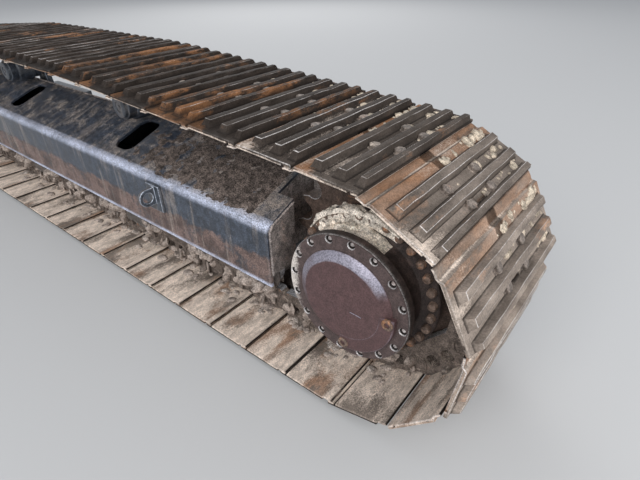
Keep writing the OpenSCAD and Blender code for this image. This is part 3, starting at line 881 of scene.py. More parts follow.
@dataclass
class TrackLayout:
    """The closed line of the chain's pins, seen from outboard as (forward, up)."""

    pitch: float = 0.190
    links: int = 49
    half_teeth: int = 21
    phase: float = 0.905
    pin_z: float = 0.083
    rail_h: float = 0.058
    drive_lift: float = 0.006
    idler_lift: float = 0.009
    idler_rail_r: float = 0.234
    top_z: float = 0.806
    carriers: tuple[float, float] = (1.240, 2.360)
    bottom_start: float = 0.4243
    bottom_back: float = 0.452
    wheelbase: float = 3.6784
    x0: float = field(init=False)
    drive_r: float = field(init=False)
    idler_r: float = field(init=False)
    drive: Vector = field(init=False)
    idler: Vector = field(init=False)
    pins: list[Vector] = field(init=False)

    def __post_init__(self) -> None:
        """Closes the line on a whole number of links and sets the pins."""
        low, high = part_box("drive_drum")
        self.x0 = (low.x + high.x) / 2
        self.drive_r = self.pitch / 2 / math.sin(2 * math.pi / self.half_teeth)
        self.idler_r = math.hypot(self.idler_rail_r + self.rail_h, self.pitch / 2)
        self.drive = Vector((0.0, self.pin_z + self.drive_r + self.drive_lift))
        for _ in range(12):
            self.idler = Vector((self.wheelbase, self.pin_z + self.idler_r + self.idler_lift))
            runs = self.runs()
            self.wheelbase += (self.links - sum(r.links for r in runs)) * self.pitch / 2
        self.idler = Vector((self.wheelbase, self.idler.y))
        runs = self.runs()
        self.pins = [self.spot(runs, (k + self.phase) % self.links) for k in range(self.links)]

    @staticmethod
    def tangent(centre: Vector, radius: float, point: Vector, side: int) -> float:
        """Returns the bearing in degrees at which a line from a point touches a circle."""
        v = point - centre
        return math.degrees(math.atan2(v.y, v.x) + side * math.acos(radius / v.length))

    def straights(self, points: Sequence[Vector]) -> list[Run]:
        """Returns the straight stretches between points in a row."""
        return [Run(a, b, links=(b - a).length / self.pitch) for a, b in zip(points, points[1:])]

    def wrap(self, centre: Vector, radius: float, first: float, last: float, step: float) -> Run:
        """Returns a stretch round a wheel, from one bearing clockwise to another."""
        a, b = (centre + Vector(polar(radius, degrees)) for degrees in (first, last))
        return Run(a, b, centre, first, step, (first - last) / step)

    def runs(self) -> list[Run]:
        """Lays out the line from the drive's foot over the top to the idler and back.

        Returns:
            Its stretches in order.
        """
        top = [Vector((x, self.top_z)) for x in self.carriers]
        foot = [Vector((self.bottom_start, self.pin_z)),
                Vector((self.wheelbase - self.bottom_back, self.pin_z))]
        idler_step = 2 * math.degrees(math.asin(self.pitch / 2 / self.idler_r))
        drive = self.wrap(self.drive, self.drive_r, self.tangent(self.drive, self.drive_r, foot[0], -1),
                          self.tangent(self.drive, self.drive_r, top[0], 1) - 360, 720 / self.half_teeth)
        idler = self.wrap(self.idler, self.idler_r, self.tangent(self.idler, self.idler_r, top[1], -1),
                          self.tangent(self.idler, self.idler_r, foot[1], 1), idler_step)
        over = self.straights([drive.end, *top, idler.start])
        under = self.straights([idler.end, *reversed(foot), drive.start])
        return [drive, *over, idler, *under]

    @staticmethod
    def spot(runs: Sequence[Run], u: float) -> Vector:
        """Finds a point on the whole line.

        Args:
            runs: The line's stretches.
            u: How many links along them it lies.

        Returns:
            The point.
        """
        for run in runs[:-1]:
            if u <= run.links:
                return run.at(u)
            u -= run.links
        return runs[-1].at(u)

    def link(self, k: int) -> Matrix:
        """Finds a link's place: X along it from its pin, Y outboard, Z out towards the shoe.

        Args:
            k: The link.

        Returns:
            The matrix from the link's own axes to the part's.
        """
        a, b = self.pins[k % self.links], self.pins[(k + 1) % self.links]
        v = (b - a).normalized()
        return Matrix(((v.x, 0.0, -v.y, a.x + self.x0), (0.0, 1.0, 0.0, 0.0),
                       (v.y, 0.0, v.x, a.y), (0.0, 0.0, 0.0, 1.0)))

    def bend(self, k: int) -> float:
        """Returns how far the chain turns at pin k, in degrees."""
        a, b, c = (self.pins[(k + i) % self.links] for i in (-1, 0, 1))
        return math.degrees((c - b).angle(b - a))

    def point(self, x: float, y: float, z: float) -> Vector:
        """Returns a place that is measured forward from the drive's axis, outboard and up from the ground."""
        return Vector((x + self.x0, y, z))


def repeat(layout: TrackLayout, unit: bmesh.types.BMesh, links: Iterable[int],
           change: Optional[Callable[[int, bmesh.types.BMesh], None]] = None) -> bmesh.types.BMesh:
    """Sets a copy of one mesh on each link.

    Args:
        layout: The chain's layout.
        unit: One link's mesh in the link's own axes, which is freed.
        links: The links that get a copy.
        change: Alters a copy before it is set in place.

    Returns:
        All the copies in one mesh.
    """
    source = bpy.data.meshes.new("unit")
    unit.to_mesh(source)
    unit.free()
    whole = new_mesh()
    for k in links:
        one = new_mesh(source)
        if change:
            change(k, one)
        bmesh.ops.transform(one, matrix=layout.link(k), verts=one.verts)
        part = bpy.data.meshes.new("one")
        one.to_mesh(part)
        one.free()
        whole.from_mesh(part)
        bpy.data.meshes.remove(part)
    bpy.data.meshes.remove(source)
    return whole


@dataclass
class ShoeSet:
    """The track shoes: plates with three grousers, a tongue under the next shoe and two clean-out holes."""

    layout: TrackLayout
    half_width: float = 0.300
    seat: float = 0.050
    plate: float = 0.061
    crest: float = 0.083
    lead: float = -0.0125
    relief_end: float = 0.0195
    relief: float = 0.0045
    relief_start: float = 0.014
    trail: float = 0.172
    tongue_r: float = 0.0492
    tongue_t: float = 0.006
    tongue_gap: float = 0.0006
    grousers: tuple[float, ...] = (-0.004, 0.056, 0.122)
    holes: tuple[Triple, ...] = ((0.014, 0.036, 0.024), (0.078, 0.101, 0.036))
    bolts: tuple[Point2, ...] = ((0.026, 0.062), (0.089, 0.080))
    stations: tuple[float, ...] = (0.300, 0.282, 0.22, 0.15, 0.085, 0.036, 0.024)
    wrap_links: range = range(1, 9)
    dry_links: tuple[int, ...] = (10, 12, 15, 18, 22)

    def profile(self) -> list[Point2]:
        """Lays out the plate's section, with its tongue and the groove over the next shoe's tongue.

        Returns:
            Its points as (along, out), round from the leading edge.
        """
        outer_cuts = (0.014, 0.036, 0.078, 0.101, 0.142)
        inner_cuts = (0.142, 0.101, 0.078, 0.036, 0.024)
        bearings = (101, 94, 86, 78, 70)
        pitch, seat, plate = self.layout.pitch, self.seat, self.plate
        outer = [(self.lead, seat + 0.006), (self.lead + 0.002, plate)] + [(t, plate) for t in outer_cuts]
        outer += [(self.trail - 0.004, plate), (self.trail, plate - 0.004)]
        outer.append((self.trail + 0.004, seat + 0.001))
        tongue = [polar(self.tongue_r, a, pitch) for a in bearings]
        under = [polar(self.tongue_r - self.tongue_t, a, pitch) for a in reversed(bearings)]
        back = [(self.trail - 0.006, seat)] + [(t, seat) for t in inner_cuts]
        deep = seat + self.relief
        groove = [(self.relief_end, seat), (self.relief_end - 0.001, deep), (self.relief_start, deep),
                  (0.0095, deep)]
        lip_r = self.tongue_r + self.tongue_gap
        lip = [(t, math.sqrt(lip_r ** 2 - t * t)) for t in (0.0085, 0.0, self.lead + 0.003)]
        return outer + tongue + under + back + groove + lip

    def plate_mesh(self, bm: bmesh.types.BMesh) -> None:
        """Builds one plate: its section pushed from edge to edge in steps, with holes and a rubbed rim.

        Args:
            bm: The mesh of one shoe.
        """
        ys = sorted({s * y for y in self.stations for s in (-1, 1)})
        front = [bm.faces.new([bm.verts.new((t, ys[0], n)) for t, n in self.profile()])]
        for a, b in zip(ys, ys[1:]):
            front, _ = push_out(bm, front, (0, b - a, 0))
        bmesh.ops.recalc_face_normals(bm, faces=bm.faces)
        for start, end, half in self.holes:
            self.cut_hole(bm, start, end, half)
        rim = [e for e in sharp_edges(bm, 40)
               if all(abs(abs(v.co.y) - self.half_width) < 1e-5 for v in e.verts)]
        bevel(bm, rim, 0.002, 1, 0.7)

    @staticmethod
    def cut_hole(bm: bmesh.types.BMesh, start: float, end: float, half: float) -> None:
        """Cuts a clean-out hole through the plate and rounds its corners.

        Args:
            bm: The mesh of one shoe.
            start: Where the hole starts along the shoe.
            end: Where it ends.
            half: Half its width.
        """
        inside = [f for f in bm.faces if start - 1e-4 < min(v.co.x for v in f.verts)
                  and max(v.co.x for v in f.verts) < end + 1e-4
                  and abs(f.calc_center_median().y) < half and abs(f.normal.z) > 0.9]
        rims = {e for f in inside for e in f.edges if any(g not in inside for g in e.link_faces)}
        bmesh.ops.delete(bm, geom=inside, context="FACES")
        made = bmesh.ops.bridge_loops(bm, edges=[e for e in rims if e.is_valid])["faces"]
        walls = {e for f in made for e in f.edges
                 if abs((e.verts[0].co - e.verts[1].co).z) > 0.004 and e.calc_face_angle(0.0) > 0.8}
        bevel(bm, list(walls), 0.009, 3)
        bmesh.ops.delete(bm, geom=[v for v in bm.verts if not v.link_faces], context="VERTS")

    def grouser_mesh(self, bm: bmesh.types.BMesh, t: float) -> None:
        """Builds one grouser with sloped ends, hollow feet with painted shade in the corners round them, and
        a crest that is worn bright along its edges.

        Args:
            bm: The mesh of one shoe.
            t: The grouser's middle, along the shoe.
        """
        levels = ((0.0215, 0.2830, self.plate - 0.002), (0.0180, 0.2790, self.plate + 0.0015),
                  (0.0150, 0.2760, self.plate + 0.005), (0.0115, 0.2690, self.crest - 0.0045),
                  (0.0102, 0.2660, self.crest - 0.0012), (0.0078, 0.2630, self.crest))
        wear = (0.0, 0.0, 0.0, -0.45, 1.05, -0.35)
        # Painted shade: the dirt layer darkens the corners at the grouser's foot, fading up its flanks
        dirt_and_shade = (1.0, 0.85, 0.35, 0.0, 0.0, 0.0)
        half_t, half_y, n = levels[0]
        before = set(bm.faces)
        verts = bmesh.ops.create_grid(bm, x_segments=1, y_segments=12, size=0.5)["verts"]
        foot = Matrix.Translation((t, 0, n)) @ Matrix.Diagonal((2 * half_t, 2 * half_y, 1, 1))
        bmesh.ops.transform(bm, verts=verts, matrix=foot)
        top = [f for f in bm.faces if f not in before]
        for next_t, next_y, next_n in levels[1:]:
            top, verts = push_out(bm, top, (-t, 0, next_n - n))
            bmesh.ops.scale(bm, verts=verts, vec=(next_t / half_t, next_y / half_y, 1))
            bmesh.ops.translate(bm, verts=verts, vec=(t, 0, 0))
            half_t, half_y, n = next_t, next_y, next_n
        mine = [f for f in bm.faces if f not in before]
        for v in {v for f in mine for v in f.verts}:
            v.co.x = max(v.co.x, self.lead + 0.0008 + 0.14 * (v.co.z - self.plate))
        wear_key, dirt_and_shade_key = (bm.loops.layers.float[name] for name in ("wear", "dirt_and_shade"))
        for loop in (loop for f in mine for loop in f.loops):
            nearest = min(range(len(levels)), key=lambda i: abs(levels[i][2] - loop.vert.co.z))
            loop[wear_key], loop[dirt_and_shade_key] = wear[nearest], dirt_and_shade[nearest]

    def on_tongue(self, c: Vector) -> bool:
        """Returns whether a place is on the tongue's outside."""
        outside = math.hypot(c.x - self.layout.pitch, c.z) > self.tongue_r - 0.001
        return outside and c.z < self.seat and c.x > self.trail

    def soil(self, bm: bmesh.types.BMesh) -> None:
        """Gives the plate dirt and painted shade in its joints, mud inside, and rust in the last valley and
        on the tongue.

        Args:
            bm: The mesh of one shoe.
        """
        joint_start, joint_end = 0.012, self.layout.pitch + 0.0145

        def dirt_and_shade(c: Vector) -> float:
            """Returns the dirt and painted shade in the groove, behind the tongue and at the leading edge's
            foot.
            """
            joint = joint_start < c.x < self.relief_end or c.x > joint_end
            foot = c.x < self.lead + 0.0025 and c.z < self.plate - 0.0005
            return 1.0 if foot or joint and c.z < self.plate - 0.002 else 0.0

        def rust(c: Vector) -> float:
            """Returns the rust in the last valley and on the tongue."""
            return 1.0 if self.on_tongue(c) or c.z > self.seat + 0.009 and c.x > 0.138 else 0.0

        def mud(c: Vector) -> float:
            """Returns the mud on the plate's inside, away from the groove."""
            inside = c.z < self.seat + 0.005 and not joint_start < c.x < self.relief_end
            return 0.9 if inside and not self.on_tongue(c) else 0.0

        for layer, value in (("dirt_and_shade", dirt_and_shade), ("rust", rust), ("mud", mud)):
            tint(bm, layer, value)

    def dent(self, k: int, bm: bmesh.types.BMesh) -> None:
        """Knocks one shoe's crests down a little and bends its two ends, then weathers it.

        Args:
            k: The shoe's link, counted from the drive's foot over the top.
            bm: Its mesh.
        """
        for v in bm.verts:
            here = Vector((v.co.x * 9 + k * 3.7, v.co.y * 11, k * 1.9))
            if v.co.z > self.crest - 0.006:
                v.co.z -= 0.0040 * max(0.0, noise.noise(here)) + 0.0020 * max(0.0, noise.noise(here * 4))
                v.co.x += 0.0020 * noise.noise(here * 2)
            elif abs(v.co.y) > self.half_width - 0.02:
                v.co.z += 0.0012 * noise.noise(here)
        self.weather(k, bm)

    def weather(self, k: int, bm: bmesh.types.BMesh) -> None:
        """Gives one shoe more or less wear, rust and mud than its neighbours.

        The shoes on the wrap are dry and pale with dust, and those on the top run dark with dirt, grease and
        painted shade from above, most of all in their valleys.

        Args:
            k: The shoe's link.
            bm: Its mesh.
        """
        wear, mud, rust, dirt_and_shade, dust = (bm.loops.layers.float[name] for name in LAYERS)
        # Painted shade: less dust, duller wear and more dirt darken the top run, as if shaded from above
        dry_unshaded = 1 - smooth(k, 4.5, 7.5)
        tone = (0.9 + 0.35 * noise.noise(Vector((k * 5.3, 0.4, 0.9)))) * (0.66 + 0.50 * dry_unshaded)
        rusty = 0.08 + 0.45 * noise.noise(Vector((k * 3.1, 7.4, 0.2)))
        more_rust = max(0.0, 0.60 + 1.6 * rusty + 0.5 * smooth(k, 2.5, 4.0) * dry_unshaded)
        film = 0.014 + 0.045 * dry_unshaded + 0.85 * (1 - smooth(k, 0.9, 4.8))
        grease_and_shade = 0.22 * smooth(k, 3.0, 5.0) * (1 - smooth(k, 8.0, 12.0))
        rear = 1.0 if k < 2 or k > 45 else 0.0
        for loop in (loop for f in bm.faces for loop in f.loops):
            c = loop.vert.co
            here = Vector((k * 2.3, c.y * 5, c.x * 14))
            blot = noise.noise(here + Vector((9, 0, 0)))
            loop[wear] *= tone * (0.8 + 0.5 * noise.noise(Vector((k * 1.7, c.y * 16, c.x * 5))))
            loop[rust] = max(loop[rust] * more_rust, rusty + 0.6 * noise.noise(here))
            if c.z > self.seat + 0.0052 or self.on_tongue(c):
                valley = 1 - smooth(c.z, self.plate + 0.001, self.plate + 0.012)
                clean = (0.62 + 0.38 * valley) * (1 - 0.5 * min(1.0, max(0.0, loop[rust])))
                loop[mud] = valley * (0.38 * dry_unshaded + 0.05) - 0.1 + 0.5 * blot * (0.3 + 0.7 * valley)
                loop[dirt_and_shade] = max(loop[dirt_and_shade], grease_and_shade)
                loop[dust] = film * (0.8 + 0.7 * noise.noise(here * 3)) * clean
                # Dirt and painted shade in the valleys, most on the top run
                if c.z < self.plate + 0.006:
                    loop[dirt_and_shade] = max(loop[dirt_and_shade], (0.95 - 0.7 * dry_unshaded) * (0.8 + 0.9 * noise.noise(here * 2)))
            else:
                loop[mud] *= 0.80 + 0.75 * blot - 0.12 * rear
                loop[dust] = 0.30 + 0.25 * noise.noise(here * 1.7)
                loop[rust] = 0.5 + 1.2 * noise.noise(here * 0.8)

    def clods(self) -> None:
        """Builds lumps of dried mud that stick in the valleys, most of them round the drive."""
        bm = new_mesh()
        for k in (*self.wrap_links, *self.dry_links):
            wrapped = k in self.wrap_links
            for i in range(46 if wrapped else 8):
                seed = k + 0.13 * i
                t = (0.154, 0.154, 0.089, 0.026)[i % 4] + 0.022 * (pick(seed, 0) - 0.5)
                y = -0.275 + 0.30 * pick(seed, 1) ** 1.5 if wrapped else -0.15 + 0.3 * pick(seed, 1)
                size = 0.004 + 0.013 * pick(seed, 2) ** 2
                half = (size, size * (1 + pick(seed, 3)), size * 0.45)
                add_lump(bm, (t, y, self.plate), half, seed, self.layout.link(k), 1)
        finish_piece(bm, "valley_clods", CLOD_MUD, sharp=80)

    def build(self) -> None:
        """Builds all the shoes, their bolts and the mud in them."""
        unit = new_mesh()
        self.plate_mesh(unit)
        for t in self.grousers:
            self.grouser_mesh(unit, t)
        self.soil(unit)
        links = range(self.layout.links)
        finish_piece(repeat(self.layout, unit, links, self.dent), "track_shoes", SHOE_STEEL, ["track_loop"])
        heads = new_mesh()
        for t, y in self.bolts:
            for side in (-1, 1):
                turn = 20 * side + 900 * t
                add_bolt(heads, (t, side * y, self.plate - 0.001), (0, 0, 1), 0.0165, 0.0125, turn)
                add_bolt(heads, (t, side * y, self.seat + 0.001), (0, 0, -1), 0.016, 0.014, 35 * side)
        finish_piece(repeat(self.layout, heads, links), "shoe_bolts", BOLT_STEEL)
        self.clods()


@dataclass
class ChainSet:
    """The chain under the shoes: cast links with two windows, bushings and pins."""

    layout: TrackLayout
    seat: float = 0.0500
    rail: float = 0.058
    inner: float = 0.044
    thick: float = 0.032
    boss_r: float = 0.037
    offset: float = 0.002
    pin_r: float = 0.0225
    bushing_r: float = 0.030

    def outline(self) -> list[Point2]:
        """Lays out a link's outside: a boss at each pin, the shoe's seat and the rail.

        Returns:
            Its points as (along, out).
        """
        p, low = self.layout.pitch, self.seat - 0.006
        near = [polar(self.boss_r, a) for a in (261, 230, 200, 175, 150, 130, 112)]
        top = [(-0.004, low), (0.004, self.seat), (p - 0.046, self.seat), (p - 0.034, low)]
        far = [polar(self.boss_r, a, p) for a in (68, 45, 20, -5, -30, -55, -81)]
        rail = [(p - 0.0105, -self.rail + 0.006), (p - 0.018, -self.rail), (0.018, -self.rail),
                (0.0105, -self.rail + 0.006)]
        return near + top + far + rail

    def windows(self) -> list[list[Point2]]:
        """Lays out the two openings of a link, with round corners.

        Returns:
            The points of each as (along, out).
        """
        half, corner_r = 0.017, 0.008
        made = []
        for t in (0.062, 0.122):
            points = []
            for dx, dz, start in ((1, 1, 0), (-1, 1, 90), (-1, -1, 180), (1, -1, 270)):
                corner = (t + dx * (half - corner_r), 0.010 + dz * 0.012)
                points += [polar(corner_r, start + a, *corner) for a in (0, 45, 90)]
            made.append(points)
        return made

    def link_mesh(self, bm: bmesh.types.BMesh, side: int) -> None:
        """Builds one row's link, on one side of the chain.

        Args:
            bm: The mesh of one pair of links.
            side: 1 for the outboard row, -1 for the inboard one.
        """
        before = set(bm.faces)
        y = side * self.inner
        fill_between(bm, [[(t, y, n) for t, n in loop] for loop in [self.outline()] + self.windows()])
        push_out(bm, [f for f in bm.faces if f not in before], (0, side * self.thick, 0))
        new = [f for f in bm.faces if f not in before]
        bmesh.ops.recalc_face_normals(bm, faces=new)
        for v in {v for f in new for v in f.verts if v.co.x > self.layout.pitch - 0.045}:
            v.co.y -= side * self.offset
        paint(bm, [f for f in new if f.calc_center_median().z < -self.rail + 0.004], "wear", 1.0)
        edge = self.inner + self.thick
        add_ring(bm, [(self.pin_r, side * (edge - 0.004)), (self.boss_r - 0.002, side * (edge - 0.004)),
                      (self.boss_r - 0.004, side * (edge + 0.004)),
                      (self.pin_r + 0.003, side * (edge + 0.004))], (0, 0, 0), 20)
        add_bar(bm, (0, side * (edge - 0.03), 0), (0, side * (edge + 0.0015), 0), self.pin_r, segments=20)

    def build(self) -> None:
        """Builds the links, pins and bushings."""
        links = range(self.layout.links)
        unit = new_mesh()
        for side in (-1, 1):
            self.link_mesh(unit, side)
        finish_piece(repeat(self.layout, unit, links), "chain_links", LINK_IRON)
        bars = new_mesh()
        add_bar(bars, (0, -self.inner - 0.001, 0), (0, self.inner + 0.001, 0), self.bushing_r, segments=24)
        finish_piece(repeat(self.layout, bars, links), "chain_bushings", LINK_IRON)


@dataclass(frozen=True)
class MudPatch:
    """A patch of mud round the drive: from back to front, on a radius, from a first bearing to a last one."""

    back: float
    front: float
    radius: float
    first: float
    last: float
    thick: float
    seed: float


@dataclass
class FinalDrive:
    """The turning drum with its bolted flange, cover, plugs, housing ring, sprocket and dried mud."""

    layout: TrackLayout
    drum_r: float = 0.178
    flange_r: float = 0.198
    face_y: float = 0.232
    flange_t: float = 0.033
    bolt_ring: float = 0.183
    bolt_count: int = 16
    first_bolt: float = 5.0
    recess: float = 0.02
    sink_r: float = 0.0122
    ring_r: float = 0.232
    ring_y: float = 0.132
    ring_t: float = 0.022
    knob_ring: float = 0.215
    knob_count: int = 32
    cover_r: float = 0.152
    cover_slope: float = 0.024
    cover_t: float = 0.016
    plug_ring: float = 0.146
    plug_r: float = 0.017
    plug_at: tuple[float, float] = (180.0, 266.5)
    sprocket_half: float = 0.030
    inner_flange_t: float = 0.014

    @property
    def centre(self) -> Vector:
        """Returns the drive's axis on the chain's middle plane."""
        return self.layout.point(0, 0, self.layout.drive.y)

    def rim(self, radius: float, degrees: float, y: float) -> Vector:
        """Returns a point at a bearing from forward over up."""
        a = math.radians(degrees)
        return self.centre + Vector((radius * math.cos(a), y, radius * math.sin(a)))

    def drum(self) -> None:
        """Builds the drum with the housing's ring and the flange's barrel."""
        d, r, f, half, c = self.drum_r, self.ring_r, self.flange_r, self.sprocket_half, self.centre
        back, low, high = -half - self.inner_flange_t, self.ring_y - self.ring_t, self.ring_y
        edge, face, lip = self.face_y - self.flange_t, self.face_y, self.bolt_ring + 0.0125
        carrier = [(0.0, back), (r - 0.002, back), (r, back + 0.002), (r, -half - 0.002), (r - 0.002, -half),
                   (d, -half)]
        ring = [(d, low - 0.012), (d + 0.004, low - 0.003), (d + 0.012, low), (r - 0.004, low),
                (r, low + 0.004), (r, high - 0.004), (r - 0.004, high), (d + 0.010, high),
                (d + 0.003, high + 0.003), (d, high + 0.010)]
        flange = [(d, edge - 0.008), (d + 0.003, edge - 0.002), (f - 0.004, edge), (f, edge + 0.004),
                  (f, face - 0.004), (f - 0.004, face - 0.0015), (lip, face - 0.0015),
                  (lip, face - self.recess), (0.0, face - self.recess)]

        def brightened(p: Vector) -> float:
            """Returns the wear of the flange's outer edge."""
            return 0.5 if p.y > face - 0.005 and math.hypot(p.x - c.x, p.z - c.z) > f - 0.005 else 0.0

        bm = new_mesh()
        add_ring(bm, carrier + ring + flange, c, 96)
        tint(bm, "wear", brightened)
        finish_piece(bm, "drive_drum_body", DRIVE_IRON, ["drive_drum"])

    def flange_sector(self, bm: bmesh.types.BMesh, inner_r: float, outer_r: float) -> None:
        """Builds the part of the flange's face round one bolt, with its countersink, whose deep walls get
        painted shade.

        Args:
            bm: The mesh of the face.
            inner_r: The face's inner radius.
            outer_r: Its outer radius.
        """
        arc = [360 / self.bolt_count * (i / 8 - 0.5) for i in range(9)]
        outline = [self.rim(outer_r, a, self.face_y) for a in arc]
        outline += [self.rim(inner_r, a, self.face_y) for a in reversed(arc)]
        middle = self.rim(self.bolt_ring, 0, self.face_y)
        sink = [middle + Vector((x, 0, z)) for x, z in (polar(self.sink_r, 18 * i) for i in range(20))]
        outer, ring = fill_between(bm, [outline, sink])
        # The chamfer at the countersink's mouth is worn; its deep walls get painted shade through the dirt
        # layer
        for depth, scale, wear in ((0.0030, 0.84, 0.7), (0.0115, 0.80, 0.0)):
            ring, verts = extend(bm, ring)
            for v in verts:
                v.co = middle + Vector(((v.co.x - middle.x) * scale, -depth, (v.co.z - middle.z) * scale))
            walls = {f for v in verts for f in v.link_faces}
            paint(bm, walls, "wear", wear)
            paint(bm, walls, "dirt_and_shade", 0.0 if wear else 1.0)
        bmesh.ops.contextual_create(bm, geom=ring)
        extend(bm, outer[:8], (0, -self.recess, 0))

    def flange_face(self) -> None:
        """Builds the flange's face from one sector for each bolt, with mud on its forward side."""
        bm = new_mesh()
        inner_r, outer_r = self.cover_r - 0.004, self.bolt_ring + 0.0127
        c, count = self.centre, self.bolt_count
        self.flange_sector(bm, inner_r, outer_r)
        turn = Matrix.Rotation(-math.radians(self.first_bolt), 3, "Y")
        bmesh.ops.rotate(bm, verts=bm.verts, cent=c, matrix=turn)
        bmesh.ops.spin(bm, geom=bm.verts[:] + bm.edges[:] + bm.faces[:], cent=c, axis=(0, 1, 0),
                       angle=2 * math.pi * (count - 1) / count, steps=count - 1, use_duplicate=True)
        bmesh.ops.remove_doubles(bm, verts=bm.verts, dist=1e-5)
        rims = [e for e in bm.edges if len(e.link_faces) == 1]
        back = [e for e in rims if all(v.co.y < self.face_y - 0.01 for v in e.verts)]
        front = [e for e in rims if all(v.co.y > self.face_y - 0.01 for v in e.verts)]
        inner, _ = extend(bm, front, (0, -self.recess, 0))
        bmesh.ops.bridge_loops(bm, edges=back + inner)

        def splash(p: Vector) -> float:
            """Returns the mud on the face's forward side."""
            out = smooth(math.hypot(p.x - c.x, p.z - c.z), inner_r, outer_r)
            return 1.1 * smooth((p - c).normalized().x, 0.2, 0.85) * out

        tint(bm, "mud", splash)
        finish_piece(bm, "drive_flange_face", FLANGE_PAINT)

    def flange_bolts(self) -> None:
        """Builds the six-sided bolt heads deep in the countersinks."""
        bm = new_mesh()
        for i in range(self.bolt_count):
            at = self.rim(self.bolt_ring, self.first_bolt + i * 360 / self.bolt_count, self.face_y)
            add_bar(bm, at - Vector((0, 0.0125, 0)), at - Vector((0, 0.0065, 0)), 0.0074, 0.0062, 6)
        paint(bm, bm.faces, "wear", 0.55)
        finish_piece(bm, "flange_bolts", PLUG_STEEL)

    def housing_bolts(self) -> None:
        """Builds the ring of round bolt heads on the housing's ring."""
        bm = new_mesh()
        for i in range(self.knob_count):
            at = self.rim(self.knob_ring, 360 * (i + 0.5) / self.knob_count, self.ring_y)
            made = add_bar(bm, at - Vector((0, 0.002, 0)), at + Vector((0, 0.015, 0)), 0.0135, 0.0125, 12)
            edges = {e for v in made for e in v.link_edges}
            bevel(bm, [e for e in edges if all(v.co.y > self.ring_y + 0.01 for v in e.verts)], 0.004, 2, 0.3)
        finish_piece(bm, "housing_bolts", PLUG_STEEL)

    def cover(self) -> None:
        """Builds the cover: a disc with a worn sloped edge that carries a painted highlight, a raised
        quadrant and a scratch.
        """
        bm = new_mesh()
        c, y, r, t = self.centre, self.face_y, self.cover_r, self.cover_t
        flat_r = r - self.cover_slope
        add_ring(bm, [(0.0, y - 0.004), (r, y - 0.004), (r, y + 0.0015), (r - 0.0025, y + 0.0035),
                      (flat_r + 0.004, y + t - 0.0022), (flat_r - 0.001, y + t - 0.0004),
                      (flat_r - 0.006, y + t), (0.0, y + t)], c, 128)

        def brightened(place: Vector) -> float:
            """Gives how bright the sloped edge is: its wear together with a painted highlight, a reflection
            of the sky that is brightest over the top.

            Args:
                place: A point of the cover.

            Returns:
                The wear with the painted highlight, 0 to about 1.
            """
            m = place - c
            angle = math.degrees(math.atan2(m.z, m.x))
            edge = smooth(math.hypot(m.x, m.z), flat_r - 0.008, flat_r + 0.002) * smooth(m.y, y, y + 0.002)
            over = smooth(angle, -75, 35) * (1 - smooth(angle, 125, 172))
            return edge * over * (0.95 + 0.5 * noise.noise(m * 20))

        # The wear layer here also carries the painted highlight of the sloped edge
        tint(bm, "wear", brightened)
        self.raised_quadrant(bm)
        scratch = [self.rim(d, a, y + t) for d, a in ((0.035, -145), (0.052, -157), (0.069, -162))]
        for p, q in zip(scratch, scratch[1:]):
            made = add_bar(bm, p, q, 0.0011, segments=6)
            paint(bm, {f for v in made for f in v.link_faces}, "wear", 1.0)
        finish_piece(bm, "hub_cover_plate", COVER_PAINT, ["hub_cover"])

    def raised_quadrant(self, bm: bmesh.types.BMesh) -> None:
        """Adds the raised part of the cover that carries the plugs.

        Args:
            bm: The cover's mesh.
        """
        y = self.face_y
        first, last = self.plug_at
        arc = even(first - 6, last + 6, 11)
        outline = [self.rim(self.cover_r + 0.0125, a, y - 0.004) for a in arc]
        outline += [self.rim(0.118, a, y - 0.004) for a in reversed(arc)]
        faces = add_slab(bm, outline, Vector((0, self.cover_t + 0.0045, 0)))
        bmesh.ops.recalc_face_normals(bm, faces=faces)
        edges = {e for f in faces for e in f.edges if e.calc_face_angle(0) > 0.9}
        bevel(bm, [e for e in edges if all(v.co.y > y + 0.01 for v in e.verts)], 0.004, 3, 0.45)

    def plugs(self) -> None:
        """Builds the two screwed plugs, each with a chamfered rim round its socket."""
        bm = new_mesh()
        y, r, socket_r = self.face_y + self.cover_t, self.plug_r, 0.0085
        profile = [(socket_r, y + 0.0005), (socket_r, y + 0.0042), (socket_r + 0.0015, y + 0.005),
                   (r - 0.002, y + 0.005), (r, y + 0.003), (r, y - 0.004), (0.0, y - 0.004), (0.0, y - 0.002),
                   (socket_r, y - 0.002)]
        for a in self.plug_at:
            at = self.rim(self.plug_ring, a, 0)
            add_ring(bm, profile, (at.x, 0, at.z), 32)
        finish_piece(bm, "hub_plug_pair", PLUG_STEEL, ["hub_plugs"])

    def sprocket(self) -> None:
        """Builds the toothed ring, phased on the chain's pins."""
        bm = new_mesh()
        pin = self.layout.pins[0] - self.layout.drive
        first, count = math.degrees(math.atan2(pin.y, pin.x)), self.layout.half_teeth
        pitch_r, half, c = self.layout.drive_r, self.sprocket_half, self.centre
        tip = pitch_r + 0.018
        pocket = [Vector(polar(0.0325, a, pitch_r)) for a in range(270, 89, -20)]
        pocket = [Vector((tip, -0.050)), *pocket, Vector((tip, 0.050))]
        turns = [Matrix.Rotation(math.radians(first + i * 360 / count), 2) for i in range(count)]
        outline = [turn @ p for turn in turns for p in pocket]
        hole = [self.rim(self.drum_r + 0.0005, 360 * i / 64, -half) for i in range(64)]
        fill_between(bm, [[Vector((c.x + p.x, -half, c.z + p.y)) for p in outline], hole])
        push_out(bm, bm.faces[:], (0, 2 * half, 0))
        bmesh.ops.recalc_face_normals(bm, faces=bm.faces)
        rims = [e for e in sharp_edges(bm, 60) if abs(e.verts[0].co.y - e.verts[1].co.y) < 1e-5]
        bevel(bm, [e for e in rims if (e.verts[0].co - c).length > self.drum_r + 0.03], 0.004, 1, 0.7)
        finish_piece(bm, "sprocket_ring", SPROCKET_IRON, ["sprocket"])

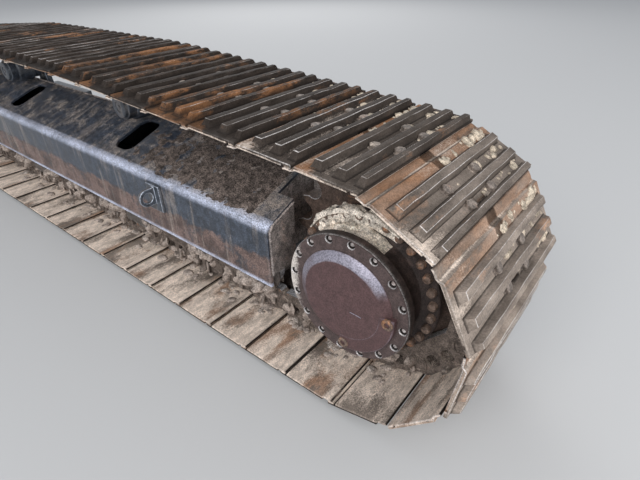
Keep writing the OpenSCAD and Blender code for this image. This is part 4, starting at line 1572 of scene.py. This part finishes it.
    def drum_crust(self, patch: MudPatch, u: float, w: float) -> Vector:
        """Gives a point of the mud round the drum or on the housing ring's edge.

        Args:
            patch: The patch of mud.
            u: Share of the way round it.
            w: Share of the way across.

        Returns:
            The point.
        """
        lump = 0.8 * noise.fractal(Vector((u * 10, w * 3, patch.seed)), 0.9, 2.1, 6) + 0.35
        taper = smooth(u, 0.0, 0.16) * smooth(1 - u, 0.0, 0.34) * smooth(min(w, 1 - w), 0.0, 0.12)
        height = patch.thick * (0.25 + 0.75 * lump) * taper - 0.003
        a = patch.first + (patch.last - patch.first) * u
        return self.rim(patch.radius + height, a, patch.back + (patch.front - patch.back) * w)

    def ring_crust(self, u: float, w: float) -> Vector:
        """Gives a point of the mud on the housing ring's face, which is thickest between the bolt heads.

        Args:
            u: Share of the way round it.
            w: Share of the way out.

        Returns:
            The point.
        """
        a = 32 + 92 * u
        knob = abs((a * self.knob_count / 360) % 1 - 0.5) * 2
        lump = 0.5 + 0.8 * noise.fractal(Vector((u * 16, w * 3, 9.0)), 0.8, 2.1, 6)
        taper = smooth(u, 0.0, 0.10) * smooth(1 - u, 0.0, 0.30) * smooth(min(w, 1 - w), 0.0, 0.15)
        between = (1 - knob) * smooth(0.5 - abs(w - 0.5), 0.05, 0.3)
        rise = (0.006 + 0.010 * between + 0.008 * lump) * taper - 0.002
        inner_r = self.drum_r + 0.006
        return self.rim(inner_r + (self.ring_r - 0.004 - inner_r) * w, a, self.ring_y + rise)

    def mud(self) -> None:
        """Builds the crust of dried mud on the drum, behind its ring and on the ring."""
        bm = new_mesh()
        back = self.ring_y - self.ring_t
        for patch in (MudPatch(self.ring_y - 0.002, self.face_y - 0.020, self.drum_r, 28, 118, 0.020, 3.0),
                      MudPatch(0.042, back, self.drum_r, 20, 140, 0.028, 5.0),
                      MudPatch(back - 0.004, self.ring_y + 0.018, self.ring_r - 0.008, 34, 118, 0.015, 7.0)):
            add_crust(bm, (70, 16), lambda u, w: self.drum_crust(patch, u, w))
        add_crust(bm, (120, 14), self.ring_crust)
        finish_piece(bm, "drum_mud", DRIED_MUD, sharp=60)

    def build(self) -> None:
        """Builds the whole drive."""
        self.drum()
        self.flange_face()
        self.flange_bolts()
        self.housing_bolts()
        self.cover()
        self.plugs()
        self.sprocket()
        self.mud()


@dataclass
class RollerSet:
    """The track rollers, the carrier rollers and their carriers."""

    layout: TrackLayout
    half_gap: float = 0.042
    link_t: float = 0.036
    tread_r: float = 0.077
    flange_h: float = 0.015
    carrier_r: float = 0.055
    carrier_z: float = 0.689
    count: int = 9

    def track_rollers(self) -> None:
        """Builds the rollers under the frame, with treads that the rails rub bright."""
        low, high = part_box("track_rollers")
        r, f, bore = self.tread_r, self.tread_r + self.flange_h, 0.0305
        c, rail = self.half_gap, self.half_gap + self.link_t
        w = rail + 0.012
        half = [(f - 0.008, w), (f - 0.002, w - 0.002), (f, w - 0.006), (r + 0.004, rail + 0.004), (r, rail),
                (r, c + 0.006), (r - 0.003, c - 0.001), (r - 0.013, c - 0.012), (r - 0.015, c - 0.018)]
        profile = [(bore, -w), *[(q, -y) for q, y in half], *[(q, y) for q, y in reversed(half)], (bore, w)]
        bm = new_mesh()
        for x in even(low.x + f, high.x - f, self.count):
            add_ring(bm, profile, (x, 0, (low.z + high.z) / 2), 40)
        paint(bm, [q for q in bm.faces if c < abs(q.calc_center_median().y) < rail], "wear", 0.9)
        finish_piece(bm, "track_roller_set", ROLLER_IRON, ["track_rollers"])

    def shafts(self) -> None:
        """Builds the rollers' shafts with chamfered ends."""
        low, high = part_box("roller_shafts")
        r, chamfer = (high.z - low.z) / 2, 0.004
        profile = [(0.0, low.y), (r - chamfer, low.y), (r, low.y + chamfer), (r, high.y - chamfer),
                   (r - chamfer, high.y), (0.0, high.y)]
        bm = new_mesh()
        for x in even(low.x + r, high.x - r, self.count):
            add_ring(bm, profile, (x, 0, (low.z + high.z) / 2), 32)
        finish_piece(bm, "roller_shaft_set", SHAFT_STEEL, ["roller_shafts"])

    def collars(self) -> None:
        """Builds the collars that hold the shafts, each with two bolts."""
        bm = copy_node("roller_collars", 0.004)
        low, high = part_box("roller_shafts")
        r, z = (high.z - low.z) / 2, (low.z + high.z) / 2 + 0.062
        for x in even(low.x + r, high.x - r, self.count):
            for side in (-1, 1):
                for dx in (-0.052, 0.052):
                    add_bolt(bm, (x + dx, side * (high.y - 0.001), z), (0, side, 0), 0.011, 0.007, 10)
        finish_piece(bm, "roller_collar_set", GUARD_IRON, ["roller_collars"])

    def carriers(self) -> None:
        """Builds the two carrier rollers, each with a cap bolt."""
        bm = new_mesh()
        c, r, w = self.half_gap, self.carrier_r, self.half_gap + self.link_t - 0.002
        f = r + 0.009
        inboard = [(0.0, -w - 0.016), (0.036, -w - 0.016), (0.036, -w), (r - 0.002, -w), (r, -w + 0.002)]
        tread = [(r, -c), (f - 0.002, -c + 0.006), (f, -c + 0.009), (f, c - 0.009), (f - 0.002, c - 0.006),
                 (r, c)]
        cap = [(r, w - 0.002), (r - 0.002, w), (r - 0.006, w + 0.002), (r - 0.010, w + 0.012),
               (r - 0.014, w + 0.014), (0.022, w + 0.014), (0.020, w + 0.011), (0.0, w + 0.011)]
        for x in self.layout.carriers:
            at = self.layout.point(x, 0, self.carrier_z)
            add_ring(bm, inboard + tread + cap, at, 48)
            add_bolt(bm, at + Vector((0, w + 0.009, 0)), (0, 1, 0), 0.0085, 0.005, 15)
        finish_piece(bm, "carrier_roller_pair", FRAME_PAINT, ["carrier_rollers"])

    def build(self) -> None:
        """Builds all the rollers and what holds them."""
        self.track_rollers()
        self.shafts()
        self.carriers()
        self.collars()
        finish_piece(copy_node("carrier_brackets"), "carrier_bracket_pair", FRAME_PAINT, ["carrier_brackets"])


@dataclass
class IdlerEnd:
    """The idler wheel with its shaft, blocks, yoke and tensioner's rod."""

    layout: TrackLayout
    bore: float = 0.0323
    bolt_count: int = 6
    bolt_ring: float = 0.056
    spokes: int = 5
    tread_r: float = 0.229
    rib_h: float = 0.019
    half_gap: float = 0.042
    link_t: float = 0.036

    def wheel(self) -> None:
        """Builds the wheel, which turns with its own body."""
        bm = new_mesh()
        c, w = self.half_gap - 0.006, self.half_gap + self.link_t + 0.002
        r, rib = self.tread_r, self.tread_r + self.rib_h
        hub = [(0.066, w), (0.070, w - 0.004), (0.078, c + 0.006), (0.084, c)]
        web = [(r - 0.050, c - 0.008), (r - 0.043, c - 0.004), (r - 0.033, w - 0.006), (r - 0.030, w)]
        tread = [(r - 0.004, w), (r, w - 0.004), (r, c + 0.003), (r + 0.003, c), (rib - 0.004, c - 0.005),
                 (rib, c - 0.009)]
        half = hub + web + tread
        profile = [(self.bore, -w), *[(q, -y) for q, y in half], *[(q, y) for q, y in reversed(half)],
                   (self.bore, w)]
        at = self.layout.point(self.layout.idler.x, 0, self.layout.idler.y)
        add_ring(bm, profile, at, 96)
        treads = [f for f in bm.faces if c < abs(f.calc_center_median().y)
                  and (f.calc_center_median() - at).length > r - 0.01]
        paint(bm, treads, "wear", 0.9)
        for side in (-1, 1):
            for i in range(self.bolt_count):
                turn = i * 360 / self.bolt_count
                x, z = polar(self.bolt_ring, turn + 15, at.x, at.z)
                add_bolt(bm, (x, side * (w - 0.001), z), (0, side, 0), 0.007, 0.004, turn)
            for i in range(self.spokes):
                self.spoke(bm, at + Vector((0, side * (c - 0.012), 0)), i * 360 / self.spokes + 30, side)
        finish_piece(bm, "idler_wheel_cast", ROLLER_IRON, ["idler_wheel"], Body.IDLER)

    def spoke(self, bm: bmesh.types.BMesh, foot: Vector, degrees: float, side: int) -> None:
        """Adds one tapered spoke between the wheel's hub and its tread.

        Args:
            bm: The wheel's mesh.
            foot: The axis, at the spoke's inner face.
            degrees: The spoke's bearing.
            side: 1 on the outboard side, -1 on the inboard one.
        """
        x, z = polar(1.0, degrees)
        start, end = 0.076, self.tread_r - 0.036
        corners = ((start, -0.012), (end, -0.009), (end, 0.009), (start, 0.012))
        outline = [foot + Vector((x, 0, z)) * d + Vector((-z, 0, x)) * e for d, e in corners]
        bmesh.ops.recalc_face_normals(bm, faces=add_slab(bm, outline, Vector((0, side * 0.030, 0))))

    def blocks(self) -> None:
        """Builds the shaft's blocks with four bolts on each."""
        bm = copy_node("idler_blocks", 0.006)
        low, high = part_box("idler_blocks")
        x, z = (low.x + high.x) / 2, (low.z + high.z) / 2
        for side in (-1, 1):
            for dx in (-0.065, 0.065):
                for dz in (-0.036, 0.036):
                    add_bolt(bm, (x + dx, side * (high.y - 0.001), z + dz), (0, side, 0), 0.012, 0.009, 20)
        finish_piece(bm, "idler_block_pair", GUARD_IRON, ["idler_blocks"])

    def build(self) -> None:
        """Builds the idler's end of the frame."""
        self.wheel()
        finish_piece(copy_node("idler_shaft", 0.004), "idler_shaft_bar", SHAFT_STEEL, ["idler_shaft"])
        self.blocks()
        finish_piece(copy_node("idler_yoke", 0.006), "idler_yoke_cast", GUARD_IRON, ["idler_yoke"])
        finish_piece(copy_node("adjuster_rod"), "adjuster_rod_bar", SHAFT_STEEL, ["adjuster_rod"])
        finish_piece(copy_node("idler_guides"), "idler_guide_bars", FRAME_PAINT, ["idler_guides"])


@dataclass
class SideFrame:
    """The welded box between the drive and the idler, with its guards, legs and tie-down eye."""

    layout: TrackLayout
    plates: tuple[tuple[str, Finish], ...] = (
        ("outer_skin", SKIN_PAINT), ("inner_skin", FRAME_PAINT), ("bottom_plate", FRAME_PAINT),
        ("rear_end_plate", END_PLATE), ("rear_bulkhead", END_PLATE), ("front_bulkhead", END_PLATE),
        ("drive_mount", END_PLATE), ("drive_ribs", END_PLATE), ("leg_stubs", FRAME_PAINT))
    wall_y: float = 0.215
    mud_holes: tuple[float, float] = (1.199, 2.239)
    hole_y: float = 0.058
    hole_half: Point2 = (0.021, 0.055)
    roof_foot: float = 0.518
    roof_slope: float = math.tan(math.radians(20))
    leg_places: tuple[float, float] = (1.180, 2.480)
    leg_half: float = 0.21
    collars: int = 9
    bottom_links: range = range(34, 49)

    def eye(self) -> None:
        """Builds the tie-down eye with a weld round its pad."""
        bm = copy_node("tie_down_eye", 0.0028, 0.75)
        low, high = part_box("tie_down_eye")
        corners = ((low.x, low.z), (high.x, low.z), (high.x, high.z), (low.x, high.z), (low.x, low.z))
        add_weld(bm, [(x, self.wall_y + 0.003, z) for x, z in corners], 0.005, 2.0)
        finish_piece(bm, "tie_down_eye_plate", FRAME_PAINT, ["tie_down_eye"])

    def welds(self) -> None:
        """Builds the weld beads on the box: along the roof, beside the legs and at the rear."""
        bm = new_mesh()
        low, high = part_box("outer_skin")
        roof = high.z - 0.001
        add_weld(bm, [(low.x + 0.07, -0.065, roof), (high.x, -0.065, roof)], 0.005, 1.0)
        legs_low, legs_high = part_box("leg_stubs")
        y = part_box("inner_skin")[0].y - 0.001
        for place in self.leg_places:
            middle = self.layout.point(place, 0, 0).x
            for x in (middle - self.leg_half, middle + self.leg_half):
                add_weld(bm, [(x, y, legs_low.z), (x, y, legs_high.z - 0.02)], 0.006, middle)
        end, wall, bend = low.x - 0.001, self.wall_y - 0.012, 0.500
        add_weld(bm, [(end, wall, 0.334), (end, wall, bend), (end, wall - 0.012, bend + 0.014),
                      (end, 0.088, 0.5535)], 0.006, 4.0)
        finish_piece(bm, "frame_welds", END_PLATE)

    def hole_gap(self, x: float, y: float) -> float:
        """Measures how far a place on the roof is from the nearest mud hole's middle.

        Args:
            x: Where it is along the part.
            y: Where it is across.

        Returns:
            The distance from the hole's middle piece.
        """
        half_x, half_y = self.hole_half
        across = max(0.0, abs(y - self.hole_y) - half_y)
        holes = [self.layout.point(place, 0, 0).x for place in self.mud_holes]
        return min(math.hypot(max(0.0, abs(x - hole) - half_x), across) for hole in holes)

    def crust(self) -> None:
        """Builds the thin crust of mud on the rear of the roof: ragged sheets that rise out of the plate."""
        bm = new_mesh()
        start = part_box("outer_skin")[0].x + 0.075
        bmesh.ops.create_grid(bm, x_segments=110, y_segments=36, size=0.5)
        for v in bm.verts:
            u, w = v.co.x + 0.5, v.co.y + 0.5
            x, y = start + 0.80 * u, -0.060 + 0.262 * w
            lumps = noise.fractal(Vector((x * 20, y * 24, 2.0)), 0.6, 2.2, 7)
            cover = 0.85 - 1.1 * u * u - 0.7 * smooth(w, 0.80, 1.0)
            edge = smooth(min(u, 1 - u), 0.0, 0.05) * smooth(min(w, 1 - w), 0.0, 0.06)
            height = 0.0060 * edge * max(-0.5, lumps + cover) - 0.0012
            height = min(height, -0.0015) if self.hole_gap(x, y) < 0.048 else height
            v.co = Vector((x, y, self.roof_foot + (self.wall_y - y) * self.roof_slope + height))
        gaps = [v for v in bm.verts if self.hole_gap(v.co.x, v.co.y) < 0.044]
        bmesh.ops.delete(bm, geom=gaps, context="VERTS")
        bmesh.ops.recalc_face_normals(bm, faces=bm.faces)
        bmesh.ops.solidify(bm, geom=bm.faces[:], thickness=0.003)
        finish_piece(bm, "roof_crust", ROOF_MUD, sharp=80)

    def rail_mud(self) -> None:
        """Builds the mud that hangs under the rollers' collars and lies along the chain's outboard side."""
        bm = new_mesh()
        low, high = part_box("roller_collars")
        for i, x in enumerate(even(low.x + 0.085, high.x - 0.085, self.collars)):
            for j in range(12):
                seed = 3.7 * i + 0.29 * j
                size = 0.012 + 0.016 * pick(seed, 0)
                at = (x + 0.15 * (pick(seed, 1) - 0.5), 0.098 + 0.034 * pick(seed, 2),
                      0.178 - 0.014 * pick(seed, 3))
                add_lump(bm, at, (1.3 * size, 0.8 * size, size), seed)
        for k in self.bottom_links:
            for j in range(10):
                seed = 1.9 * k + 0.37 * j
                size = 0.005 + 0.014 * pick(seed, 0) ** 2
                at = (0.03 + 0.13 * pick(seed, 1), 0.086 + 0.07 * pick(seed, 2) ** 3, 0.0495)
                add_lump(bm, at, (1.4 * size, size, 0.45 * size), seed, self.layout.link(k))
            for j in range(5):
                seed = 2.7 * k + 0.41 * j
                size = 0.014 + 0.012 * pick(seed, 0)
                at = (0.01 + 0.17 * pick(seed, 1), 0.077, 0.034 - 0.05 * pick(seed, 2))
                add_lump(bm, at, (1.3 * size, 0.007, size), seed, self.layout.link(k))
        finish_piece(bm, "rail_mud_lumps", RAIL_MUD, sharp=80)

    def build(self) -> None:
        """Builds the frame's plates and small parts."""
        for name, finish in self.plates:
            finish_piece(copy_node(name, 0.003, 0.4), f"{name}_plate", finish, [name])
        finish_piece(copy_node("chain_guards", 0.004), "chain_guard_plates", GUARD_IRON, ["chain_guards"])
        self.eye()
        self.welds()
        self.crust()
        self.rail_mud()


@dataclass
class InboardDrive:
    """The spindle and the travel motor behind the sprocket."""

    bolt_count: int = 12
    bolt_ring: float = 0.108
    port_places: tuple[float, ...] = (-0.05, 0.0, 0.05)

    def build(self) -> None:
        """Builds the spindle and the motor with its bolts and ports."""
        finish_piece(copy_node("drive_spindle"), "drive_spindle_barrel", DRIVE_IRON, ["drive_spindle"])
        bm = copy_node("travel_motor", 0.006)
        low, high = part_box("travel_motor")
        x, z = (low.x + high.x) / 2, (low.z + high.z) / 2
        for i in range(self.bolt_count):
            turn = i * 360 / self.bolt_count
            at_x, at_z = polar(self.bolt_ring, turn + 15, x, z)
            add_bolt(bm, (at_x, high.y - 0.003, at_z), (0, -1, 0), 0.009, 0.008, turn)
        for dx in self.port_places:
            add_bar(bm, (x + dx, low.y + 0.004, z - 0.03), (x + dx, low.y, z - 0.03), 0.017, segments=20)
        finish_piece(bm, "travel_motor_case", FRAME_PAINT, ["travel_motor"])


@dataclass(frozen=True)
class Lamp:
    """A square area lamp: its place, the point that it looks at, its size and its power in watts."""

    name: str
    place: Triple
    aim: Triple
    size: float
    power: float


@dataclass
class Studio:
    """Floor, light and the camera at the photograph's view."""

    eye: Vector = field(default_factory=lambda: Vector((-2.3819, 1.008, 1.221)))
    right: Vector = field(default_factory=lambda: Vector((-0.7824, -0.6226, -0.0163)))
    ahead: Vector = field(default_factory=lambda: Vector((0.5267, -0.6475, -0.5506)))
    lens: float = 25.34
    shift: Point2 = (0.0003, 0.0055)
    sky: Colour = (0.86, 0.90, 0.96)
    sky_strength: float = 0.60
    floor_colour: Colour = (0.52, 0.52, 0.52)
    lamps: tuple[Lamp, ...] = (Lamp("side", (-2.5, 9.0, 6.5), (-0.8, 0.1, 0.3), 7.0, 700),
                               Lamp("rear", (-10.0, 2.5, 5.0), (-1.8, 0, 0.4), 6.0, 560),
                               Lamp("fill", (6.0, -8.0, 6.0), (0.0, 0, 0.4), 6.0, 350))

    def camera(self) -> None:
        """Sets the camera."""
        right = self.right.normalized()
        ahead = (self.ahead - right * self.ahead.dot(right)).normalized()
        up = right.cross(ahead)
        data = bpy.data.cameras.new("view")
        data.sensor_width = 36.0
        data.lens = self.lens
        data.shift_x, data.shift_y = self.shift
        data.clip_end = 100.0
        camera = bpy.data.objects.new("view", data)
        bpy.context.scene.collection.objects.link(camera)
        camera.matrix_world = Matrix(((right.x, up.x, -ahead.x, self.eye.x),
                                      (right.y, up.y, -ahead.y, self.eye.y),
                                      (right.z, up.z, -ahead.z, self.eye.z), (0, 0, 0, 1)))
        bpy.context.scene.camera = camera

    @staticmethod
    def light(lamp: Lamp) -> None:
        """Adds a lamp to the scene, turned towards its aim.

        Args:
            lamp: The lamp's place and strength.
        """
        data = bpy.data.lights.new(lamp.name, "AREA")
        data.size = lamp.size
        data.energy = lamp.power
        light = bpy.data.objects.new(lamp.name, data)
        bpy.context.scene.collection.objects.link(light)
        light.location = lamp.place
        light.rotation_euler = (Vector(lamp.aim) - Vector(lamp.place)).to_track_quat("-Z", "Y").to_euler()

    def floor(self) -> None:
        """Adds the plain pale floor."""
        bm = bmesh.new()
        bmesh.ops.create_grid(bm, x_segments=1, y_segments=1, size=30)
        mesh = bpy.data.meshes.new("floor")
        bm.to_mesh(mesh)
        bm.free()
        made = bpy.data.materials.new("pale_floor")
        made.use_nodes = True
        shader = made.node_tree.nodes["Principled BSDF"]
        shader.inputs["Base Color"].default_value = (*self.floor_colour, 1)
        shader.inputs["Roughness"].default_value = 0.9
        mesh.materials.append(made)
        floor = bpy.data.objects.new("floor", mesh)
        bpy.context.scene.collection.objects.link(floor)

    def build(self) -> None:
        """Sets up everything that isn't the part."""
        self.camera()
        self.floor()
        world = bpy.data.worlds.new("sky")
        world.use_nodes = True
        background = world.node_tree.nodes["Background"]
        background.inputs["Color"].default_value = (*self.sky, 1)
        background.inputs["Strength"].default_value = self.sky_strength
        bpy.context.scene.world = world
        for lamp in self.lamps:
            self.light(lamp)
        bpy.context.scene.view_settings.view_transform = "Standard"


def main() -> None:
    """Builds the part in order."""
    logging.basicConfig(level=logging.INFO, format="%(message)s")
    Studio().build()
    layout = TrackLayout()
    LOG.info("wheelbase %.4f, drive at %.4f", layout.wheelbase, layout.x0)
    for assembly in (ShoeSet(layout), ChainSet(layout), FinalDrive(layout), RollerSet(layout),
                     IdlerEnd(layout), SideFrame(layout), InboardDrive()):
        LOG.info("building %s", type(assembly).__name__)
        assembly.build()


if __name__ == "__main__":
    main()
